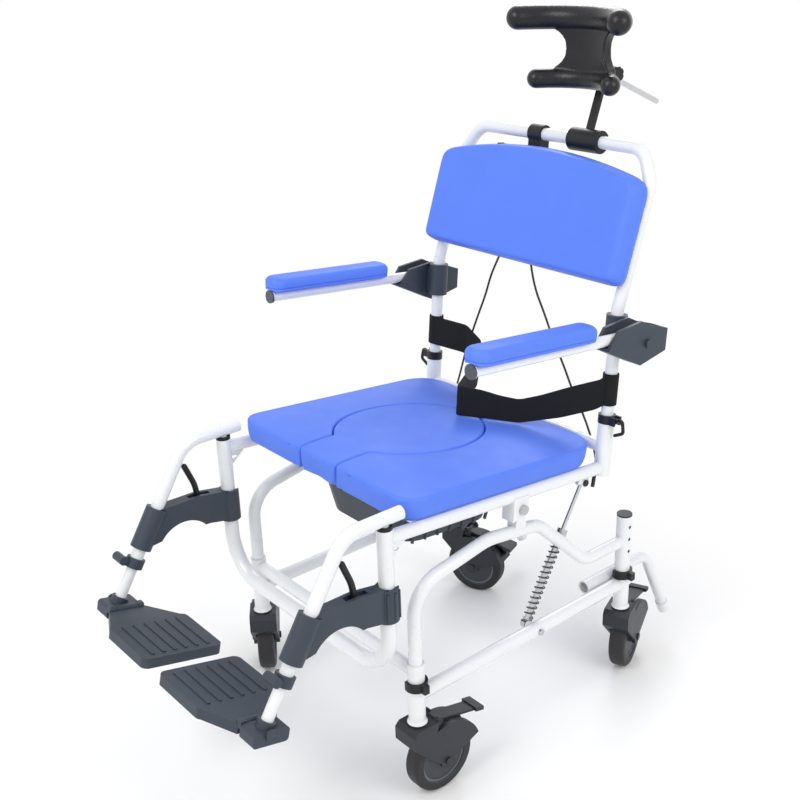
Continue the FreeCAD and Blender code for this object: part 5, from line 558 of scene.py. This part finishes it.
def seat_cushion():
    """U-shaped cushion: the outer outline and the keyhole are paired by their shares of length, and the spine
    is the line half way between them."""
    outline = round_cornered([(SEAT_HALF, SEAT_FRONT), (SEAT_HALF, SEAT_REAR), (-SEAT_HALF, SEAT_REAR),
                              (-SEAT_HALF, SEAT_FRONT)],
                             (CORNER_FRONT, CORNER_REAR, CORNER_REAR, CORNER_FRONT))
    right = outline[:len(outline) // 2]
    right = np.vstack([[(NECK_HALF + KEYHOLE_GAP, SEAT_FRONT)], right, [(0.0, SEAT_REAR)]])
    count = 230
    outer = run_along(right, count)
    inner = run_along(keyhole(KEYHOLE_GAP), count)
    outer = np.vstack([outer, outer[-2::-1] * FLIP])
    inner = np.vstack([inner, inner[-2::-1] * FLIP])
    middle = (outer + inner) / 2
    middle = middle[np.clip(np.arange(len(middle)), 7, len(middle) - 8)]
    loop = np.vstack([outer, inner[-2:0:-1]])
    spine = np.vstack([middle, middle[-2:0:-1]])
    share = np.concatenate([np.ones(len(outer)), np.full(len(inner) - 2, 0.12)])
    grid = pad_block(loop, spine, share, np.where(share > 0.5, OUTER_EDGE, INNER_EDGE))
    made = skin("seat_cushion_skin", on_seat(grid), SKIN, "seat")
    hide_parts("seat_cushion")


def seat_insert():
    """Lift-out keyhole cushion with its spine along the middle of the seat."""
    loop = mirrored_loop(run_along(np.vstack([[(0.0, SEAT_FRONT)], keyhole(0.0)]), 200))
    spine = np.stack([np.zeros(len(loop)), np.clip(loop[:, 1], -222.0, 20.0)], 1)
    front = 1 - eased(loop[:, 1], SEAT_FRONT + 1.0, SEAT_FRONT + 9.0)
    grid = pad_block(loop, spine, 0.06 + 0.94 * front, np.full(len(loop), INNER_EDGE))
    made = skin("seat_insert_skin", on_seat(grid), SKIN, "seat_insert")
    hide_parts("seat_insert")


# Back pad, drawn upright in the seat's axes and leaned back with the posts

BACK_HALF, BACK_FOOT, BACK_SIDE_TOP, BACK_CROWN = 238.2, 342.2, 510.0, 547.6
BACK_FACE, BACK_WIDEST, BACK_REAR = 156.2, 185.8, 203.8
POST_X, POST_Y, BEND_Z = 226.0, 210.0, 306.0
POST_GROOVE = 13.3
BACK_LEAN = math.atan2(65.0, 259.0)
FACE_GAPS = [0.0, 0.8, 2.4, 4.6, 6.4, 7.8, 9.6, 12.0, 15.0]
FACE_DEPTHS = [29.6, 23.0, 15.0, 8.0, 4.0, 2.1, 0.9, 0.25, 0.0]


def back_pad():
    """Moulded back pad. Its face is a flat crown inside a soft crease, its sides slope out to the widest line,
    and its rear edge is a quarter ellipse; behind, a round groove takes each post."""
    shoulder = [(BACK_HALF, BACK_SIDE_TOP - 16.0), (BACK_HALF - 1.6, BACK_SIDE_TOP - 5.0),
                (BACK_HALF - 7.0, BACK_SIDE_TOP + 4.0), (BACK_HALF - 20.0, BACK_SIDE_TOP + 12.5)]
    arch = [(x, BACK_CROWN - 25.0 * (x / 218.0) ** 2) for x in np.linspace(203.0, 12.0, 16)]
    foot = [(0.0, BACK_FOOT), (BACK_HALF - 13.0, BACK_FOOT), (BACK_HALF - 4.0, BACK_FOOT + 4.0),
            (BACK_HALF, BACK_FOOT + 13.0)]
    right = run_along(foot + shoulder + arch + [(0.0, BACK_CROWN)], 250)
    ring = softened(mirrored_loop(right), 4, closed=True)
    middle = (BACK_FOOT + BACK_CROWN) / 2
    spine = np.stack([np.clip(ring[:, 0], -150.0, 150.0), np.full(len(ring), middle)], 1)
    shares = (np.linspace(0.0, 1.0, 40) ** 1.9)[None, :, None]
    face = ring[:, None] * (1 - shares) + spine[:, None] * shares
    gap = off_edge(face, ring)
    across = np.abs(face[..., 0])
    crown = 3.0 * (1 - (across / BACK_HALF) ** 2) * (1 - ((face[..., 1] - middle) / 104.0) ** 2)
    front = BACK_FACE + 3.0 - np.clip(crown, 0.0, 3.0) + np.interp(gap, FACE_GAPS, FACE_DEPTHS) * 0.9
    turn = np.clip(1 - gap / 9.0, 0.0, 1.0)
    rear = BACK_WIDEST + (BACK_REAR - BACK_WIDEST) * np.sqrt(1 - turn ** 2)
    groove = POST_Y - np.sqrt(np.maximum(POST_GROOVE ** 2 - (across - POST_X) ** 2, 0.0))
    rear = np.minimum(rear, groove)
    sheets = [np.stack([face[..., 0], depth, face[..., 1]], -1) for depth in (front, rear)]
    grid = np.concatenate([sheets[0][:, ::-1], sheets[1]], 1)
    c, s = math.cos(BACK_LEAN), math.sin(BACK_LEAN)
    y, z = grid[..., 1] - POST_Y, grid[..., 2] - BEND_Z
    grid = np.stack([grid[..., 0], POST_Y + y * c + z * s, BEND_Z + z * c - y * s], -1)
    made = skin("back_pad_skin", on_seat(grid), SKIN, "seat")
    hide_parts("back_pad")


# Armrest pads, in the seat's axes

ARM_X, ARM_HALF, ARM_FRONT, ARM_REAR = 263.0, 23.8, -162.8, 98.8
ARM_FOOT, ARM_TOP, ARM_CROWN, ARM_EDGE = 281.1, 305.2, 2.2, 10.0
ARM_CORNER_FRONT, ARM_CORNER_REAR = 20.0, 14.0
ARM_LEVELS = ((281.1, 6.0), (281.2, 3.0), (282.2, 1.0), (284.0, 0.4), (286.2, 0.3), (286.8, 1.5), (287.6, 1.5),
              (288.2, 0.2), (290.0, 0.0))     # heights of the side's rows and how far each lies inwards
RECESS_REAR, RECESS_HALF, RECESS_BELOW, RECESS_ROOF = -155.5, 12.6, 284.5, 283.7


def arm_pad(side, sign):
    """Moulded arm pad: a rounded plan, a low crown, edges of quarter circles and a thin groove above the foot."""
    ring = round_cornered([(-ARM_HALF, ARM_FRONT), (ARM_HALF, ARM_FRONT), (ARM_HALF, ARM_REAR),
                           (-ARM_HALF, ARM_REAR)],
                          (ARM_CORNER_FRONT, ARM_CORNER_FRONT, ARM_CORNER_REAR, ARM_CORNER_REAR))
    ring = softened(run_along(ring, 340, closed=True), 3, closed=True)
    spine = np.stack([np.zeros(len(ring)), np.clip(ring[:, 1], -140.0, 78.0)], 1)
    inward = (spine - ring) / np.maximum(np.linalg.norm(spine - ring, axis=1, keepdims=True), 1e-6)
    rows = [np.concatenate([spine, np.full((len(ring), 1), ARM_FOOT)], 1)]
    for height, inset in ARM_LEVELS:
        rows.append(np.concatenate([ring + inward * inset, np.full((len(ring), 1), height)], 1))
    shares = (np.linspace(0.0, 1.0, 20) ** 1.7)[None, :, None]
    top = ring[:, None] * (1 - shares) + spine[:, None] * shares
    gap = off_edge(top, ring)
    crown = ARM_TOP + ARM_CROWN * (1 - (top[..., 0] / 24.0) ** 2) - rounding(gap, ARM_EDGE)
    grid = np.concatenate([np.stack(rows, 1), np.concatenate([top, crown[..., None]], 2)], 1)
    recess = (grid[..., 1] < RECESS_REAR) & (np.abs(grid[..., 0]) < RECESS_HALF)
    recess &= grid[..., 2] < RECESS_BELOW
    grid[..., 2] = np.where(recess, np.maximum(grid[..., 2], RECESS_ROOF), grid[..., 2])
    grid[..., 0] = sign * (grid[..., 0] + ARM_X)
    made = skin("arm_pad_skin_" + side, on_seat(grid), SKIN, "armrest_" + side)
    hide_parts("arm_pad_" + side)


# Lap belt, in the seat's axes

BELT_PLAN = [(226, 197.1), (97, 127), (2, 62), (-45, 130), (-70, 180), (-100, 214), (-150, 221), (-226, 197.1)]
BELT_LOW = [(-226, 138), (-150, 133), (-100, 116), (-70, 94), (-45, 81.4), (97, 81.4), (163, 104), (216, 129),
            (226, 138)]
BELT_TOP = [(-226, 195), (-150, 190), (-100, 172), (-70, 151), (-45, 139), (3, 137), (40, 134), (66, 128),
            (95, 125), (128, 139), (174, 163), (223, 186), (226, 195)]
BELT_THICK, BELT_WIDTH = 2.4, 57.0
BELT_FLOOR = 81.2
EDGE_SHARES = np.array([0.0, 0.012, 0.04, 0.25, 0.5, 0.75, 0.96, 0.988, 1.0])
EDGE_HALVES = BELT_THICK / 2 * np.array([0.35, 0.85, 1.0, 1.0, 1.0, 1.0, 1.0, 0.85, 0.35])
LOOP_RADIUS, LOOP_LOW, LOOP_HIGH, LOOP_STEPS = 12.9, 138.2, 194.8, 96


def ribbon(name, centre, low, high, closed):
    """Strap on edge: its middle line in plan is moved to both sides by half its thickness, less at its edges."""
    count = len(centre)
    way = np.gradient(centre, axis=0) if not closed else (np.roll(centre, -1, 0) - np.roll(centre, 1, 0))
    way = way / np.linalg.norm(way, axis=1, keepdims=True)
    left = np.stack([-way[:, 1], way[:, 0]], 1)
    around = np.concatenate([EDGE_SHARES, EDGE_SHARES[::-1]])
    push = np.concatenate([EDGE_HALVES, -EDGE_HALVES[::-1]])
    push = np.broadcast_to(push, (count, len(push))).copy()
    if not closed:
        push[0] = push[-1] = 0.0
    plan = centre[:, None] + left[:, None] * push[..., None]
    height = low[:, None] + (high - low)[:, None] * around[None]
    grid = np.concatenate([plan, height[..., None]], 2)
    gone = np.concatenate([[0.0], np.cumsum(np.linalg.norm(np.diff(centre, axis=0), axis=1)), [0.0]]) * MM
    gone[-1] = gone[-2] + (gone[-2] - gone[-3])
    spread = np.concatenate([around, [0.0]]) * BELT_WIDTH * MM
    return skin(name, on_seat(grid), WEBBING, "seat", closed_u=closed, closed_v=True,
                laid=(gone, spread))


def lap_belt():
    """The belt's free part and its loops round the two back posts."""
    centre = softened(run_along(BELT_PLAN, 520), 9)
    centre[0], centre[-1] = BELT_PLAN[0], BELT_PLAN[-1]
    low = np.interp(centre[:, 0], *np.array(BELT_LOW, float).T)
    high = np.interp(centre[:, 0], *np.array(BELT_TOP, float).T)
    low = softened(low[:, None], 12)[:, 0]
    high = softened(high[:, None], 12)[:, 0]
    low = np.maximum(low, BELT_FLOOR)
    strap = ribbon("lap_belt_strap", centre, low, high, False)
    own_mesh(strap)
    pieces = [strap]
    turn = np.linspace(0.0, 2 * math.pi, LOOP_STEPS, endpoint=False)
    low, high = (np.full(LOOP_STEPS, height) for height in (LOOP_LOW, LOOP_HIGH))
    for side, sign in (("left", 1), ("right", -1)):
        ring = np.stack([sign * POST_X + LOOP_RADIUS * np.cos(turn), POST_Y + LOOP_RADIUS * np.sin(turn)], 1)
        pieces.append(ribbon("lap_belt_loop_" + side, ring, low, high, True))
    for piece in pieces:
        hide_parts("lap_belt")


# Headrest

HEAD_GRID = 0.002
HEAD_EASING = 7


def headrest_foam():
    """Moulded headrest: the node's form on an even grid, relaxed so that rolls and panel flow together."""
    work = bmesh.new()
    work.from_mesh(NODES["headrest_pad"].data)
    bmesh.ops.remove_doubles(work, verts=work.verts, dist=MERGE_GAP / 2)
    plain = bpy.data.meshes.new("headrest_form")
    work.to_mesh(plain)
    work.free()
    form = linked("headrest_form", plain)
    grid = form.modifiers.new("even_grid", "REMESH")
    grid.mode = "VOXEL"
    grid.voxel_size = HEAD_GRID
    ease = form.modifiers.new("relax", "SMOOTH")
    ease.factor = 0.5
    ease.iterations = HEAD_EASING
    seen = form.evaluated_get(bpy.context.evaluated_depsgraph_get())
    mesh = bpy.data.meshes.new_from_object(seen)
    bpy.data.objects.remove(form)
    mesh.materials.clear()
    mesh.materials.append(HEAD_SKIN)
    mesh.polygons.foreach_set("use_smooth", [True] * len(mesh.polygons))
    made = linked("headrest_foam", mesh)
    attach(made, "headrest_pad")
    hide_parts("headrest_pad")


seat_cushion()
seat_insert()
back_pad()
headrest_foam()
for side, sign in (("left", 1), ("right", -1)):
    arm_pad(side, sign)
lap_belt()


# Camera at the photograph's place

VIEW_ANGLES = (49.54, 22.34, -1.38)            # azimuth, elevation and roll, in degrees
VIEW_PLACE = (1.4309, -1.1570, 1.3370)
PICTURE, SENSOR = 800.0, 36.0
FOCAL, SHIFT_RIGHT, SHIFT_UP = 1135.46, -28.58, 1.65    # in pixels of the picture


def photo_camera():
    """Right, up and forward from the view's azimuth, elevation and roll."""
    azimuth, elevation, roll = (math.radians(angle) for angle in VIEW_ANGLES)
    ahead = Vector((-math.sin(azimuth) * math.cos(elevation), math.cos(azimuth) * math.cos(elevation),
                    -math.sin(elevation)))
    right = Vector((math.cos(azimuth), math.sin(azimuth), 0.0))
    up = right.cross(ahead)
    across = right * math.cos(roll) + up * math.sin(roll)
    upward = up * math.cos(roll) - right * math.sin(roll)
    data = bpy.data.cameras.new("photo_view")
    data.sensor_width = SENSOR
    data.lens = FOCAL * SENSOR / PICTURE
    data.shift_x = SHIFT_RIGHT / PICTURE
    data.shift_y = SHIFT_UP / PICTURE
    camera = linked("photo_view", data)
    turn = Matrix((across, upward, -ahead)).transposed()
    camera.matrix_world = Matrix.Translation(Vector(VIEW_PLACE)) @ turn.to_4x4()
    bpy.context.scene.camera = camera


# Light and floor

ROOM_LIGHT = 0.78
LAMPS = (
    ("key", (0.2, -2.6, 2.9), (0.0, 0.0, 0.5), 1.8, 46.0),
    ("fill", (2.6, 0.3, 2.0), (0.0, 0.0, 0.5), 1.6, 22.0),
    ("rim", (-1.8, 2.4, 2.6), (0.0, 0.0, 0.7), 1.4, 25.0),
)
FLOOR_HALF = 25.0
FLOOR_WHITE, FLOOR_CLOUD = (0.94, 0.94, 0.94), (0.92, 0.92, 0.92)
FLOOR_FADE = (0.45, 1.15)    # distances from the middle between which the floor turns white for the camera


def lamp(name, place, aim, size, power):
    """Round soft lamp at a place, turned to its aim."""
    data = bpy.data.lights.new(name, "AREA")
    data.shape = "DISK"
    data.size = size
    data.energy = power
    made = linked(name, data)
    made.location = place
    made.rotation_euler = (Vector(aim) - Vector(place)).to_track_quat("-Z", "Y").to_euler()


def studio():
    """White room light, three large soft lamps and a pale floor that turns white for the camera further out."""
    world = bpy.data.worlds.new("studio")
    bpy.context.scene.world = world
    world.use_nodes = True
    tree = world.node_tree
    sky = tree.nodes["Background"]
    sky.inputs["Color"].default_value = (1.0, 1.0, 1.0, 1.0)
    path = tree.nodes.new("ShaderNodeLightPath")
    seen = tree.nodes.new("ShaderNodeMath")
    seen.operation = "MAXIMUM"
    tree.links.new(path.outputs["Is Camera Ray"], seen.inputs[0])
    tree.links.new(path.outputs["Is Transmission Ray"], seen.inputs[1])
    shown = tree.nodes.new("ShaderNodeMath")
    shown.operation = "MAXIMUM"
    tree.links.new(seen.outputs[0], shown.inputs[0])
    tree.links.new(path.outputs["Is Glossy Ray"], shown.inputs[1])
    level = tree.nodes.new("ShaderNodeMapRange")
    level.inputs["To Min"].default_value = ROOM_LIGHT
    level.inputs["To Max"].default_value = 1.0
    tree.links.new(shown.outputs[0], level.inputs["Value"])
    tree.links.new(level.outputs[0], sky.inputs["Strength"])
    for each in LAMPS:
        lamp(*each)
    mesh = bpy.data.meshes.new("floor")
    corners = [(x * FLOOR_HALF, y * FLOOR_HALF, 0) for x, y in ((-1, -1), (1, -1), (1, 1), (-1, 1))]
    mesh.from_pydata(corners, [], [(0, 1, 2, 3)])
    floor = linked("floor", mesh)
    f = Finish("studio_floor", FLOOR_WHITE, 0.9, Specular_IOR_Level=0.1)
    here = f.place()
    cloud = f.noise(here, 3.0, 2.0)
    f.tint(FLOOR_WHITE, (cloud * 0.2, FLOOR_CLOUD))
    away = f.node("ShaderNodeVectorMath", {"operation": "LENGTH"}, {0: here}, "Value").between(*FLOOR_FADE)
    look = f.node("ShaderNodeLightPath", {}, {}, "Is Camera Ray")
    glint = f.node("ShaderNodeLightPath", {}, {}, "Is Glossy Ray")
    white = f.tree.nodes.new("ShaderNodeEmission")
    both = f.tree.nodes.new("ShaderNodeMixShader")
    f.join(both.inputs[0], away * (look + glint))
    f.tree.links.new(f.shader.outputs[0], both.inputs[1])
    f.tree.links.new(white.outputs[0], both.inputs[2])
    f.tree.links.new(both.outputs[0], f.tree.nodes["Material Output"].inputs["Surface"])
    mesh.materials.append(f.material)


photo_camera()
studio()
bpy.context.scene.view_settings.view_transform = "Standard"
